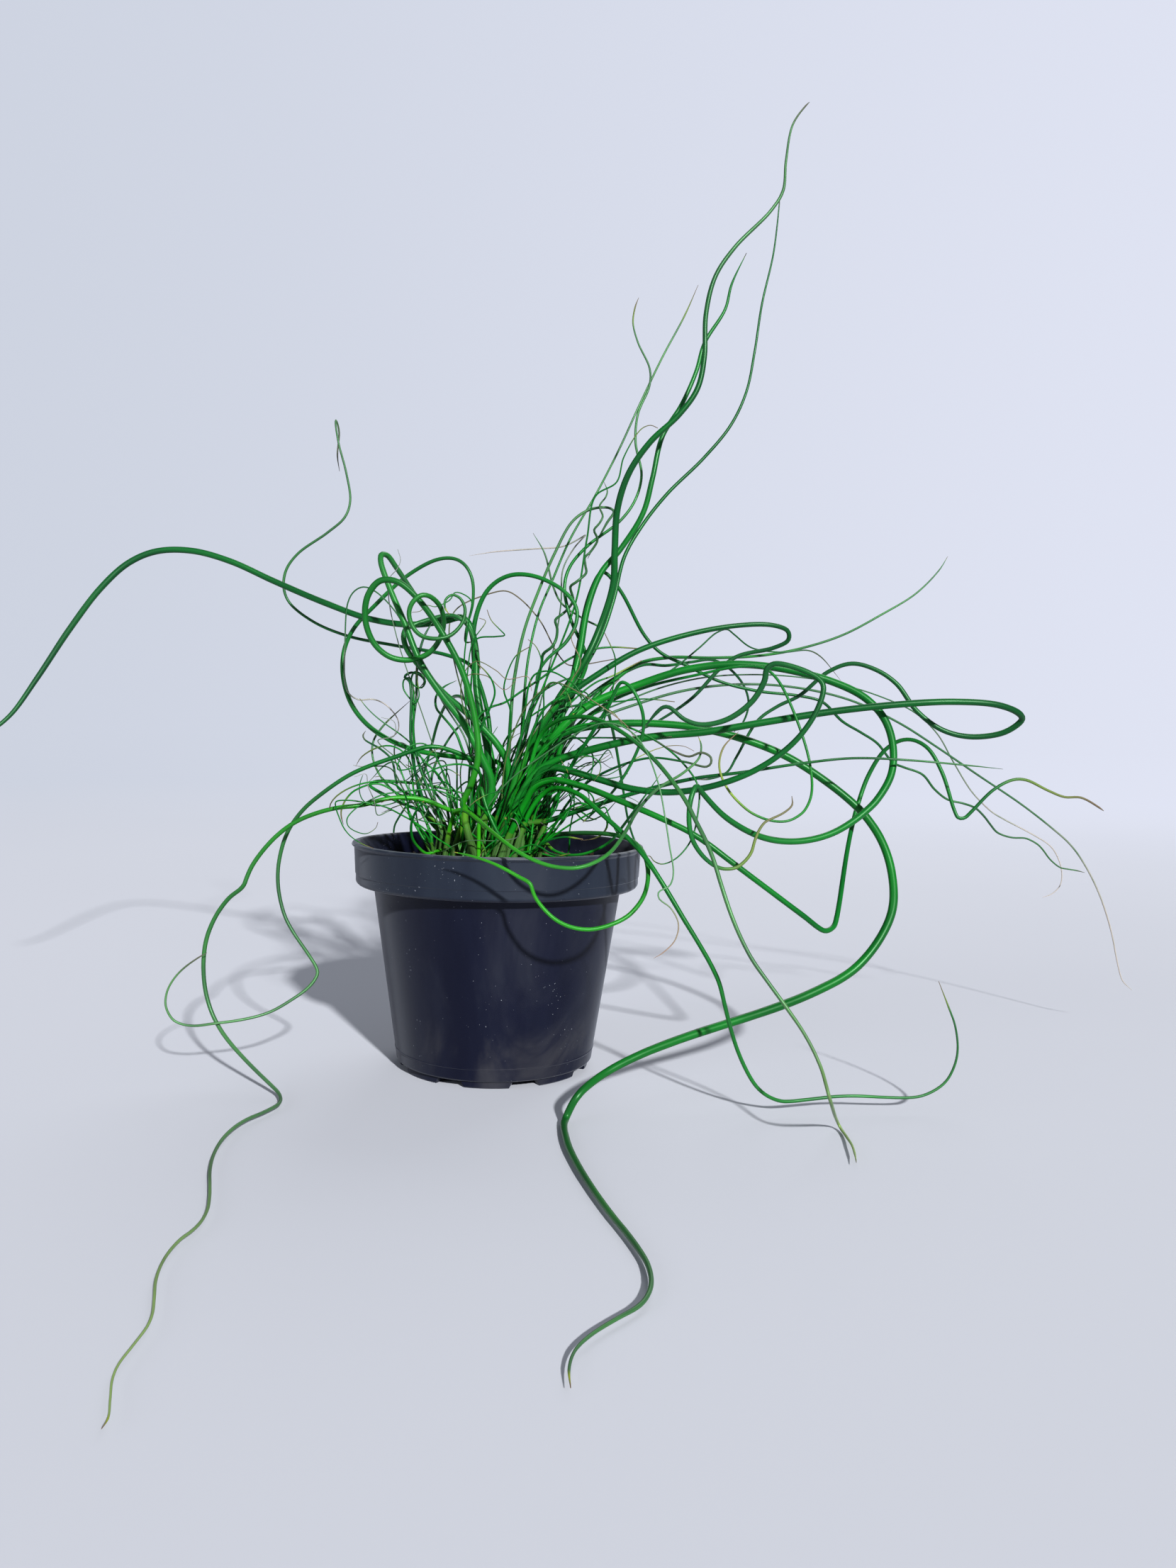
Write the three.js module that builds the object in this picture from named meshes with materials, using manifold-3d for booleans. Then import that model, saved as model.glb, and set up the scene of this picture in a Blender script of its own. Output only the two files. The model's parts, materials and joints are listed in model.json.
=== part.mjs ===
// Corkscrew rush in a round nursery pot. Millimetres, +Z up; the origin is the centre of the pot's base.
import * as THREE from 'three';
import { mergeVertices } from 'three/addons/utils/BufferGeometryUtils.js';
import Module from 'manifold-3d';

const wasm = await Module();
wasm.setup();

// ---- Pot ----
const RIM_RADIUS = 52.5;
const RIM_TOP = 80.6;
const LIP_DEPTH = 1.5;
const BAND_TOP_RADIUS = 51.6;
const BAND_LOW_RADIUS = 50.9;
const BAND_LOW = 65.7;
const BAND_STEP = 69.6;
const BAND_STEP_DEPTH = 0.25;
const BAND_ROUND = 1.6;
const BODY_TOP_RADIUS = 44.7;
const BODY_LOW_RADIUS = 35.4;
const BODY_LOW = 3;
const WALL = 1.1;
const LIP_WIDTH = 2.3;
const FLOOR_LOW = 2.4;
const FLOOR_TOP = 4;
const FOOT_OUTER = 34;
const FOOT_INNER = 31;
const PAD_RADIUS = 20;
const NOTCH_COUNT = 8;
const NOTCH_WIDTH = 9;
const DRAIN_COUNT = 8;
const DRAIN_RADIUS = 2.6;
const DRAIN_RING = 25.5;
const POT_SIDES = 40;

// ---- Soil ----
const FIT = 0.35;
const SOIL_TOP = 73;
const SOIL_CROWN = 1.2;
const SOIL_SIDES = 30;
const HOLE_DEPTH = 9;
const HOLE_SIDES = 6;

// ---- Crown: the stems stand in staggered rows ----
const CROWN_X = -5;
const ROOT_PITCH = 4.5;
const ROW_PITCH = 4;
const ROOT_DEPTH = 8;
const ROOT_RISE = 3;

// ---- Stems ----
const STEM_GAP = 0.35;
const THICK_SIDES = 4;
const THIN_SIDES = 3;
const THICK_FROM = 1.5;
const LEAST_DIAMETER = 0.8;
const LIE_HEIGHT = 1.7;

// ---- Rings along a stem: one for so much turn, and for so much run ----
const TURN_PER_RING = 0.66;
const TUFT_TURN = 0.95;
const RUN_COST = 0.028;
const CROWN_HEIGHT = 24;
const CROWN_TURN = 0.3;

// ---- Bending clear ----
const PUSH_SHARE = 0.4;
const PUSH_OWN = 0.8;
const PUSH_BESIDE = 0.3;
const BEND_ROUNDS = 160;
const CLOSE_ENOUGH = 0.02;
const AWAY = new THREE.Vector3(0, 1, 0);

// The stems are drawn on a sheet that stands SHEET_AWAY sheet units in front of the eye. The eye looks
// a little down, with its head a little turned, and SHEET_MIDDLE is the point that it looks at.
const EYE = new THREE.Vector3(31.9, -428, 121.7);
const EYE_DOWN = THREE.MathUtils.degToRad(2.56);
const EYE_TURN = THREE.MathUtils.degToRad(1.39);
const SHEET_AWAY = 1665;
const SHEET_MIDDLE = [829.5, 1106];

// ---- Colours ----
const POT_COLOUR = 0x23262f;
const SOIL_COLOUR = 0x2b2119;
const GREENS = { bright: 0x3f9d2b, mid: 0x2a7d2c, deep: 0x1c5c2c, pale: 0x6fae4c, dry: 0x8a7a4e };

// A point that has LIES as its depth lies on the surface that the pot stands on.
const LIES = 'lies';

// Each stem: the crown slot it stands in [column, row], its colour, its diameters at the root, halfway and at
// the tip, and its drawn route: [across, down] on the sheet, and how far behind the pot's axis, in mm.
const STEMS = {
  arch_far_left: {
    slot: [-1, 1], green: 'mid', width: [2.5, 2.3, 1.3],
    route: [[690, 1060, 5], [674, 985, 6], [675, 945, 8], [671, 908, 9], [663, 883, 9], [652, 872, 9],
      [635, 874, 9], [610, 880, 10], [560, 880, 12], [510, 870, 14], [440, 843, 16], [380, 817, 18],
      [320, 790, 18], [270, 777, 18], [220, 778, 17], [180, 795, 15], [140, 832, 12], [100, 885, 9],
      [60, 945, 5], [20, 1003, 0], [-12, 1030, -4], [-40, 1040, -6]],
  },
  whip_upper_left: {
    slot: [-2, 2], green: 'deep', width: [1.5, 1.0, 0.7],
    route: [[690, 1040, 10], [676, 965, 15], [665, 940, 18], [640, 927, 20], [600, 918, 22], [554, 910, 24],
      [520, 904, 25], [490, 897, 26], [455, 884, 27], [423, 864, 28], [405, 845, 28], [400, 822, 28],
      [407, 797, 29], [427, 775, 30], [455, 756, 31], [480, 738, 32], [492, 718, 33], [494, 698, 34],
      [488, 665, 34], [480, 635, 35], [474, 606, 35], [474, 593, 37], [478, 604, 39], [478, 622, 40],
      [476, 642, 40], [479, 665, 41]],
  },
  loop_left_front: {
    slot: [-1, -3], green: 'bright', width: [2.7, 2.2, 1.0],
    route: [[660, 1172, -16], [650, 1142, -18], [658, 1118, -20], [668, 1098, -21], [674, 1072, -22],
      [675, 1045, -22], [670, 1015, -22], [664, 985, -22], [655, 955, -22], [640, 920, -22], [625, 895, -22],
      [605, 865, -21], [588, 843, -20], [570, 826, -20], [552, 818, -20], [535, 820, -20], [521, 836, -20],
      [515, 858, -19], [518, 888, -18], [528, 908, -17], [542, 922, -16], [560, 930, -15], [585, 930, -14],
      [608, 919, -14], [621, 900, -15], [626, 880, -17], [623, 860, -20], [612, 845, -24], [598, 839, -26],
      [584, 847, -27], [577, 864, -27], [581, 882, -27], [593, 896, -27], [612, 901, -27], [632, 898, -26],
      [648, 885, -25], [656, 867, -24], [653, 849, -24], [641, 839, -24], [630, 844, -25], [627, 855, -26],
      [634, 867, -27]],
  },
  loop_left_back: {
    slot: [-1, -2], green: 'mid', width: [2.7, 2.1, 1.2],
    route: [[694, 1110, -10], [680, 1070, -11], [668, 1043, -11], [650, 1015, -11], [630, 990, -10],
      [613, 965, -10], [595, 938, -9], [580, 905, -8], [568, 872, -8], [556, 845, -8], [546, 820, -7],
      [538, 798, -6], [538, 783, -4], [547, 784, -1], [560, 802, 1], [574, 822, 3], [588, 842, 4],
      [603, 862, 5]],
  },
  ring_left_inner: {
    slot: [1, 0], green: 'mid', width: [2.4, 1.9, 1.0],
    route: [[712, 1080, 0], [700, 1050, -1], [680, 1026, -1], [655, 1002, 0], [630, 980, 1], [612, 962, 1],
      [597, 942, 2], [582, 925, 2], [571, 908, 3], [571, 892, 4], [582, 883, 5], [600, 878, 6],
      [622, 871, 7], [642, 869, 8], [657, 878, 8], [667, 896, 8], [672, 918, 8], [675, 945, 8]],
  },
  ring_left_wide: {
    slot: [0, 3], green: 'mid', width: [2.0, 1.8, 1.0],
    route: [[712, 1085, 12], [700, 1073, 12], [670, 1069, 12], [630, 1066, 12], [600, 1061, 13],
      [575, 1055, 14], [550, 1044, 15], [525, 1028, 17], [505, 1008, 18], [492, 985, 20], [485, 960, 21],
      [483, 935, 22], [487, 912, 23], [497, 890, 23], [510, 873, 23], [525, 858, 23], [545, 838, 22],
      [567, 818, 21], [590, 802, 20], [612, 791, 19], [632, 787, 18], [650, 792, 17], [662, 806, 16],
      [668, 828, 16], [667, 850, 16], [662, 878, 17], [656, 895, 18], [657, 906, 19], [667, 905, 20]],
  },
  whip_low_left: {
    slot: [-1, -1], green: 'deep', width: [1.9, 1.4, 0.7],
    route: [[690, 1092, -5], [670, 1074, -6], [640, 1060, -8], [612, 1053, -10], [585, 1059, -11],
      [560, 1067, -12], [530, 1078, -13], [500, 1090, -14], [460, 1117, -15], [428, 1145, -15],
      [408, 1170, -15], [398, 1195, -15], [392, 1230, -16], [394, 1262, -17], [403, 1295, -18],
      [420, 1325, -19], [440, 1354, -20], [448, 1372, -21], [438, 1390, -23], [412, 1410, -26],
      [380, 1428, -29], [345, 1438, -32], [305, 1444, -35], [270, 1447, -37], [246, 1440, -38],
      [234, 1420, -38], [236, 1398, -37], [250, 1375, -36], [272, 1356, -35], [292, 1344, -34]],
  },
  trail_left: {
    slot: [-3, -1], green: 'bright', width: [2.3, 1.4, 0.7],
    route: [[650, 1152, -9], [625, 1139, -12], [600, 1129, -14], [570, 1125, -16], [540, 1128, -18],
      [510, 1136, -20], [480, 1139, -22], [450, 1146, -23], [420, 1158, -24], [395, 1175, -25],
      [370, 1201, -26], [352, 1228, -27], [343, 1250, -28], [322, 1268, -28], [303, 1295, -29],
      [291, 1326, -30], [287, 1360, -31], [290, 1398, -32], [300, 1432, -34], [316, 1460, -36],
      [345, 1494, -40], [372, 1521, -45], [392, 1541, -50], [394, 1556, LIES], [372, 1569, LIES],
      [345, 1581, LIES], [320, 1600, LIES], [303, 1625, LIES], [296, 1652, LIES], [296, 1682, LIES],
      [292, 1708, LIES], [278, 1730, LIES], [255, 1748, LIES], [237, 1768, LIES], [224, 1792, LIES],
      [218, 1817, LIES], [217, 1843, LIES], [211, 1865, LIES], [199, 1884, LIES], [182, 1905, LIES],
      [166, 1927, LIES], [157, 1952, LIES], [155, 1980, LIES], [152, 2002, LIES], [143, 2016, LIES]],
  },
  loop_left_pale: {
    slot: [-4, -1], green: 'pale', width: [1.5, 1.2, 0.8],
    route: [[622, 1168, -5], [600, 1147, -4], [560, 1130, -3], [535, 1117, -2], [522, 1108, 0],
      [528, 1103, 2], [550, 1102, 3], [600, 1107, 4], [650, 1118, 5], [672, 1124, 6]],
  },
  loop_over_rim: {
    slot: [-3, -2], green: 'bright', width: [1.8, 1.3, 0.9],
    route: [[640, 1150, -14], [652, 1144, -22], [668, 1152, -32], [690, 1170, -46], [716, 1191, -58],
      [740, 1207, -64], [765, 1218, -67], [790, 1224, -68], [815, 1224, -68], [838, 1217, -66],
      [860, 1203, -62], [877, 1182, -56], [890, 1160, -50], [903, 1138, -44], [925, 1115, -38],
      [950, 1100, -34], [970, 1085, -31], [985, 1070, -29], [990, 1055, -27], [985, 1039, -25]],
  },
  loop_before_pot: {
    slot: [3, -1], green: 'bright', width: [1.7, 1.5, 1.0],
    route: [[770, 1182, -9], [800, 1176, -16], [830, 1175, -23], [858, 1176, -30], [880, 1180, -36],
      [897, 1190, -42], [909, 1206, -48], [914, 1225, -52], [913, 1248, -56], [905, 1270, -60],
      [886, 1292, -63], [860, 1305, -65], [835, 1311, -66], [810, 1309, -67], [786, 1299, -68],
      [766, 1281, -68], [753, 1262, -68], [748, 1247, -68], [730, 1236, -67], [700, 1220, -66],
      [670, 1209, -64], [640, 1202, -62]],
  },
  upright_left_outer: {
    slot: [-4, 0], green: 'deep', width: [1.2, 0.9, 0.7],
    route: [[618, 1174, -2], [600, 1138, -4], [590, 1105, -5], [583, 1080, -6], [580, 1055, -6],
      [579, 1020, -6], [580, 985, -5], [578, 962, -4], [571, 955, -2], [578, 949, 0], [590, 951, 2],
      [599, 960, 4], [592, 970, 5]],
  },
  upright_left_inner: {
    slot: [-3, 0], green: 'deep', width: [1.2, 0.9, 0.7],
    route: [[628, 1165, 0], [606, 1118, 1], [592, 1080, 2], [583, 1045, 2], [584, 1010, 2], [587, 985, 3],
      [588, 955, 3], [590, 925, 4], [597, 900, 5], [609, 882, 6], [616, 868, 7]],
  },
  hook_left_low: {
    slot: [-4, 1], green: 'deep', width: [1.4, 1.0, 0.7],
    route: [[622, 1148, 6], [604, 1127, 8], [580, 1121, 10], [562, 1112, 11], [557, 1090, 12],
      [553, 1073, 12], [543, 1061, 13], [528, 1052, 14], [516, 1045, 15], [512, 1038, 16], [516, 1031, 17]],
  },
  thread_left_arc: {
    slot: [-3, 1], green: 'mid', width: [1.1, 0.8, 0.7],
    route: [[612, 1140, 9], [590, 1126, 12], [562, 1120, 15], [545, 1106, 17], [532, 1087, 18],
      [525, 1064, 19], [527, 1045, 20], [538, 1027, 21], [560, 1007, 22], [578, 989, 23]],
  },
  curl_left_core: {
    slot: [-2, 1], green: 'mid', width: [1.4, 1.1, 0.8],
    route: [[666, 1085, 5], [652, 1058, 4], [644, 1036, 4], [632, 1017, 5], [618, 1004, 6], [614, 988, 8],
      [620, 974, 10], [632, 966, 12], [644, 960, 14]],
  },
  curl_left_low: {
    slot: [-3, 2], green: 'deep', width: [1.3, 1.0, 0.8],
    route: [[630, 1140, 10], [610, 1112, 12], [612, 1088, 14], [620, 1068, 15], [632, 1045, 16],
      [646, 1026, 17], [660, 1012, 18], [668, 998, 20]],
  },
  hook_left_grey: {
    slot: [-2, -1], green: 'deep', width: [1.2, 0.8, 0.7],
    route: [[662, 1060, -3], [620, 985, 0], [585, 915, 3], [560, 866, 6], [541, 843, 8], [526, 832, 9],
      [513, 828, 10], [500, 834, 11], [492, 847, 12], [488, 880, 14], [487, 930, 16], [490, 975, 18],
      [506, 987, 19], [530, 987, 20], [550, 999, 21], [562, 1018, 22], [560, 1034, 23], [545, 1042, 24]],
  },
  arch_top_centre: {
    slot: [-1, 2], green: 'mid', width: [2.0, 1.6, 1.0],
    route: [[692, 1090, 9], [676, 1000, 11], [669, 930, 13], [668, 890, 13], [675, 858, 13],
      [690, 830, 13], [715, 813, 12], [745, 811, 10], [775, 821, 8], [800, 838, 6], [813, 858, 5],
      [812, 882, 4], [800, 904, 3], [780, 922, 2], [764, 940, 2], [756, 962, 2], [758, 982, 2]],
  },
  upright_kinked: {
    slot: [0, 1], green: 'mid', width: [1.5, 1.1, 0.7],
    route: [[722, 1060, 5], [720, 1010, 6], [725, 960, 7], [733, 915, 8], [745, 872, 9], [758, 838, 10],
      [769, 813, 10], [781, 784, 11], [794, 757, 12], [811, 732, 13], [832, 719, 14], [856, 716, 15],
      [866, 720, 16], [856, 738, 16], [846, 757, 16], [838, 772, 16], [829, 788, 16]],
  },
  upright_straight: {
    slot: [0, 2], green: 'mid', width: [1.3, 0.9, 0.7],
    route: [[733, 1060, 12], [740, 965, 18], [751, 900, 22], [765, 850, 26], [780, 817, 28],
      [798, 773, 31], [825, 724, 34], [850, 681, 37], [880, 620, 40], [905, 565, 43], [930, 513, 46],
      [958, 458, 48], [975, 430, 49], [985, 402, 50]],
  },
  upright_wavy: {
    slot: [2, 1], green: 'mid', width: [1.9, 1.2, 0.7],
    route: [[790, 1010, 4], [828, 930, 5], [814, 895, 7], [803, 860, 9], [798, 830, 10], [801, 808, 11],
      [813, 786, 12], [836, 764, 13], [860, 745, 14], [878, 732, 15], [892, 713, 16], [901, 693, 17],
      [905, 673, 18], [902, 650, 19], [896, 618, 20], [899, 588, 21], [907, 565, 22], [916, 545, 23],
      [918, 526, 24], [907, 498, 25], [898, 478, 25], [893, 455, 26], [895, 437, 26], [901, 420, 27]],
  },
  corkscrew_centre: {
    slot: [1, 2], green: 'deep', width: [1.5, 1.1, 0.8],
    route: [[745, 1040, 9], [755, 985, 8], [764, 945, 7], [765, 925, 5], [779, 912, 2], [787, 893, 4],
      [783, 876, 8], [793, 866, 11], [806, 850, 9], [804, 828, 5], [813, 821, 3], [827, 808, 5],
      [824, 788, 10], [831, 781, 12], [843, 762, 10], [838, 748, 6], [850, 732, 5], [846, 713, 9],
      [857, 696, 12], [852, 680, 14]],
  },
  hook_centre: {
    slot: [2, 2], green: 'deep', width: [1.2, 0.9, 0.7],
    route: [[800, 985, 14], [838, 915, 20], [848, 888, 22], [830, 877, 22], [797, 856, 21],
      [784, 838, 20], [775, 803, 20], [768, 780, 20], [752, 752, 21]],
  },
  thread_top_back: {
    slot: [1, 3], green: 'dry', width: [1.0, 0.8, 0.7],
    route: [[770, 960, 18], [788, 880, 26], [793, 830, 30], [795, 800, 32], [810, 773, 34],
      [826, 755, 35], [814, 762, 37], [790, 772, 38], [760, 774, 39], [728, 774, 40], [695, 779, 41],
      [662, 784, 42]],
  },
  thread_dry_wanderer: {
    slot: [-1, 3], green: 'dry', width: [1.0, 0.8, 0.7],
    route: [[660, 1010, 20], [640, 930, 28], [634, 880, 32], [645, 858, 33], [668, 847, 33],
      [692, 837, 33], [715, 834, 32], [740, 850, 31], [760, 873, 30], [775, 900, 30], [788, 924, 30],
      [802, 938, 30], [830, 936, 31], [860, 931, 32], [892, 926, 33]],
  },
  tallest_front: {
    slot: [1, 1], green: 'deep', width: [2.6, 1.8, 0.7],
    route: [[755, 1060, 3], [795, 990, 3], [828, 935, 4], [842, 900, 5], [852, 870, 5], [862, 838, 4],
      [868, 805, 3], [867, 770, 1], [869, 732, -1], [876, 697, -3], [890, 662, -4], [910, 632, -5],
      [935, 606, -6], [958, 585, -6], [978, 560, -6], [990, 530, -5], [994, 498, -4], [994, 465, -3],
      [998, 430, -2], [1008, 393, -1], [1024, 364, 0], [1048, 337, 1], [1076, 309, 2], [1098, 284, 3],
      [1108, 256, 4], [1109, 224, 5], [1114, 190, 6], [1125, 162, 7], [1142, 144, 8]],
  },
  tall_second: {
    slot: [2, 0], green: 'mid', width: [2.6, 2.0, 0.8],
    route: [[760, 1045, 0], [785, 1000, 0], [808, 960, 0], [817, 925, 1], [822, 890, 2], [828, 862, 3],
      [838, 828, 4], [852, 802, 5], [872, 779, 6], [893, 750, 6], [910, 717, 6], [919, 682, 6],
      [926, 645, 7], [936, 612, 8], [951, 587, 9], [970, 557, 10], [982, 525, 11], [991, 490, 12],
      [1008, 462, 13], [1024, 434, 14], [1030, 408, 15], [1038, 386, 16], [1053, 357, 18]],
  },
  tall_third: {
    slot: [3, 1], green: 'deep', width: [1.9, 1.4, 0.7],
    route: [[785, 1010, 6], [830, 935, 10], [846, 902, 12], [858, 874, 14], [868, 836, 16],
      [876, 800, 18], [888, 769, 20], [907, 740, 22], [930, 709, 25], [960, 678, 28], [992, 647, 31],
      [1020, 615, 34], [1042, 581, 36], [1056, 542, 38], [1064, 500, 40], [1070, 455, 41],
      [1079, 410, 42], [1089, 368, 43], [1096, 328, 44], [1100, 280, 45]],
  },
  wave_right_long: {
    slot: [3, 0], green: 'deep', width: [1.7, 1.3, 0.7],
    route: [[795, 990, 3], [815, 910, 10], [832, 838, 16], [850, 807, 18], [869, 824, 19],
      [885, 851, 20], [900, 880, 21], [915, 905, 22], [932, 921, 22], [952, 931, 23], [977, 943, 24],
      [1002, 956, 25], [1030, 966, 25], [1064, 974, 26], [1100, 979, 27], [1130, 982, 28],
      [1156, 988, 28], [1175, 1003, 29], [1192, 1021, 30], [1212, 1032, 31], [1233, 1044, 32],
      [1248, 1062, 32], [1264, 1079, 33], [1286, 1085, 34], [1303, 1094, 34], [1317, 1112, 35],
      [1332, 1126, 36], [1354, 1132, 36], [1376, 1140, 37], [1392, 1156, 37], [1405, 1173, 38],
      [1424, 1181, 38], [1448, 1183, 39], [1466, 1193, 39], [1480, 1211, 40], [1496, 1224, 40],
      [1514, 1227, 41], [1530, 1231, 41]],
  },
  loop_right_upper: {
    slot: [4, 0], green: 'mid', width: [2.4, 1.8, 1.0],
    route: [[762, 1040, 0], [795, 992, 1], [825, 962, 2], [862, 941, 3], [898, 919, 4], [935, 905, 5],
      [975, 894, 6], [1015, 886, 7], [1055, 881, 8], [1090, 882, 9], [1111, 890, 11], [1112, 903, 13],
      [1094, 913, 15], [1065, 920, 16], [1035, 928, 17], [1015, 944, 17], [998, 962, 17],
      [975, 986, 17], [950, 1004, 17], [920, 1022, 17], [895, 1034, 17]],
  },
  whip_right_upper: {
    slot: [4, 1], green: 'mid', width: [1.4, 1.0, 0.7],
    route: [[800, 1030, 5], [842, 984, 9], [866, 961, 13], [892, 941, 17], [920, 930, 21],
      [960, 927, 26], [1000, 928, 31], [1040, 927, 35], [1080, 924, 39], [1120, 917, 43],
      [1160, 906, 46], [1200, 891, 49], [1240, 869, 52], [1280, 846, 55], [1310, 822, 57],
      [1328, 800, 58], [1337, 785, 59]],
  },
  sweep_right_to_front: {
    slot: [0, -1], green: 'bright', width: [2.7, 2.5, 0.9],
    route: [[738, 1082, -4], [762, 1058, -4], [792, 1039, -4], [825, 1028, -4], [860, 1022, -4],
      [900, 1021, -4], [945, 1022, -4], [985, 1027, -5], [1030, 1037, -5], [1075, 1052, -6],
      [1115, 1070, -6], [1155, 1095, -7], [1190, 1122, -8], [1218, 1148, -9], [1244, 1187, -10],
      [1258, 1232, -12], [1259, 1282, -14], [1240, 1326, -17], [1204, 1368, -21], [1152, 1398, -26],
      [1090, 1423, -32], [1029, 1443, -38], [962, 1465, -45], [901, 1489, -52], [852, 1515, -58],
      [815, 1546, -66], [798, 1578, LIES], [799, 1607, LIES], [812, 1638, LIES], [836, 1677, LIES],
      [863, 1714, LIES], [892, 1750, LIES], [914, 1785, LIES], [918, 1815, LIES], [904, 1840, LIES],
      [874, 1858, LIES], [838, 1880, LIES], [812, 1904, LIES], [803, 1930, LIES], [805, 1958, LIES]],
  },
  sweep_right_flat_loop: {
    slot: [1, -2], green: 'mid', width: [2.4, 2.0, 1.2],
    route: [[742, 1112, -9], [762, 1086, -10], [795, 1069, -11], [840, 1056, -12], [885, 1045, -13],
      [940, 1037, -14], [1000, 1032, -15], [1060, 1022, -16], [1120, 1012, -17], [1180, 1003, -18],
      [1240, 996, -19], [1300, 992, -20], [1350, 990, -20], [1400, 993, -19], [1432, 1003, -17],
      [1442, 1014, -14], [1422, 1031, -11], [1385, 1039, -9], [1350, 1037, -8], [1322, 1026, -7],
      [1300, 1010, -6], [1283, 990, -5], [1266, 966, -4], [1248, 951, -3], [1228, 942, -2],
      [1206, 936, -1], [1185, 940, 0], [1163, 951, 1], [1144, 967, 2], [1124, 984, 3], [1096, 997, 4],
      [1072, 1013, 4], [1055, 1040, 4], [1040, 1066, 4], [1026, 1089, 4], [1006, 1098, 4],
      [985, 1100, 4]],
  },
  fold_right_front: {
    slot: [2, -2], green: 'deep', width: [2.8, 2.0, 0.9],
    route: [[752, 1098, -10], [768, 1084, -14], [800, 1086, -19], [840, 1098, -24], [880, 1110, -28],
      [920, 1117, -31], [960, 1117, -33], [1000, 1110, -35], [1040, 1098, -37], [1072, 1083, -38],
      [1100, 1064, -39], [1126, 1041, -40], [1146, 1014, -40], [1158, 988, -40], [1161, 966, -39],
      [1146, 951, -38], [1118, 941, -37], [1094, 936, -36], [1082, 944, -35], [1078, 962, -34],
      [1068, 981, -33], [1052, 998, -32], [1032, 1012, -31], [1006, 1021, -30], [980, 1021, -29],
      [958, 1010, -28], [942, 997, -27], [930, 1001, -26], [920, 1016, -25], [906, 1030, -24]],
  },
  crook_right: {
    slot: [1, -3], green: 'mid', width: [2.2, 1.6, 0.7],
    route: [[742, 1130, -15], [758, 1108, -18], [785, 1102, -22], [812, 1107, -26], [845, 1119, -30],
      [880, 1132, -33], [925, 1151, -36], [980, 1178, -38], [1040, 1222, -39], [1100, 1267, -37],
      [1140, 1297, -34], [1163, 1313, -31], [1176, 1307, -28], [1182, 1285, -24], [1189, 1240, -15],
      [1197, 1190, -5], [1206, 1150, 2], [1219, 1108, 5], [1238, 1071, 5], [1257, 1051, 3],
      [1280, 1043, 0], [1302, 1050, -3], [1320, 1070, -5], [1334, 1104, -7], [1344, 1136, -8],
      [1351, 1153, -9], [1360, 1154, -9], [1377, 1138, -9], [1396, 1119, -9], [1415, 1105, -8],
      [1438, 1099, -8], [1460, 1105, -7], [1480, 1116, -7], [1498, 1124, -6], [1520, 1124, -6],
      [1540, 1132, -5], [1557, 1144, -5]],
  },
  ring_right_wide: {
    slot: [1, -1], green: 'mid', width: [2.6, 2.3, 0.8],
    route: [[765, 1055, -4], [795, 1018, -4], [830, 994, -4], [875, 976, -4], [925, 960, -4],
      [975, 947, -5], [1030, 940, -6], [1090, 942, -7], [1140, 952, -8], [1190, 968, -9],
      [1226, 989, -11], [1248, 1015, -13], [1259, 1048, -16], [1260, 1080, -19], [1250, 1110, -22],
      [1230, 1136, -25], [1200, 1161, -28], [1165, 1179, -31], [1122, 1187, -34], [1082, 1183, -37],
      [1048, 1169, -40], [1018, 1148, -43], [996, 1127, -46], [983, 1109, -49], [976, 1122, -51],
      [972, 1150, -52], [976, 1182, -52], [992, 1208, -51], [1014, 1224, -50], [1038, 1224, -49],
      [1058, 1206, -48], [1067, 1180, -47], [1078, 1161, -46], [1100, 1150, -45], [1117, 1137, -44],
      [1117, 1123, -43]],
  },
  ring_right_thin: {
    slot: [3, 2], green: 'pale', width: [1.2, 0.9, 0.7],
    route: [[805, 1035, 6], [860, 990, 3], [930, 962, 0], [1000, 945, -6], [1055, 938, -12],
      [1085, 946, -15], [1106, 974, -17], [1118, 1000, -19], [1130, 1035, -21], [1142, 1075, -23],
      [1146, 1105, -24], [1139, 1138, -25], [1115, 1157, -26], [1085, 1157, -27], [1052, 1141, -27],
      [1027, 1114, -26], [1015, 1085, -25], [1019, 1058, -24], [1030, 1042, -23], [1042, 1032, -22]],
  },
  whip_right_level: {
    slot: [3, -2], green: 'mid', width: [1.7, 1.1, 0.7],
    route: [[740, 1164, -9], [765, 1156, -11], [800, 1148, -14], [840, 1136, -17], [880, 1123, -20],
      [920, 1112, -22], [965, 1101, -24], [1015, 1092, -25], [1060, 1088, -26], [1105, 1081, -26],
      [1150, 1074, -26], [1195, 1070, -26], [1240, 1069, -25], [1285, 1073, -24], [1330, 1077, -23],
      [1380, 1081, -22], [1415, 1085, -21]],
  },
  curl_right_yellow: {
    slot: [4, -1], green: 'pale', width: [1.1, 0.9, 0.7],
    route: [[812, 1118, -12], [850, 1091, -18], [880, 1078, -21], [902, 1071, -23], [930, 1069, -25],
      [960, 1073, -27], [985, 1080, -29], [1001, 1080, -30], [1003, 1069, -30], [992, 1063, -29],
      [974, 1068, -28], [958, 1064, -27], [944, 1054, -26], [925, 1045, -25]],
  },
  trail_front_right: {
    slot: [2, -1], green: 'mid', width: [1.8, 1.4, 0.7],
    route: [[762, 1040, -10], [790, 1016, -20], [830, 1012, -32], [870, 1028, -42], [905, 1055, -50],
      [940, 1090, -57], [965, 1126, -62], [985, 1165, -66], [1003, 1203, -70], [1018, 1250, -73],
      [1036, 1302, -76], [1059, 1350, -79], [1086, 1389, -81], [1112, 1425, -83], [1138, 1464, -85],
      [1158, 1506, -88], [1170, 1548, -94], [1184, 1588, LIES], [1203, 1618, LIES], [1208, 1640, LIES]],
  },
  trail_low_right: {
    slot: [2, -3], green: 'mid', width: [1.9, 1.4, 0.7],
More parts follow.
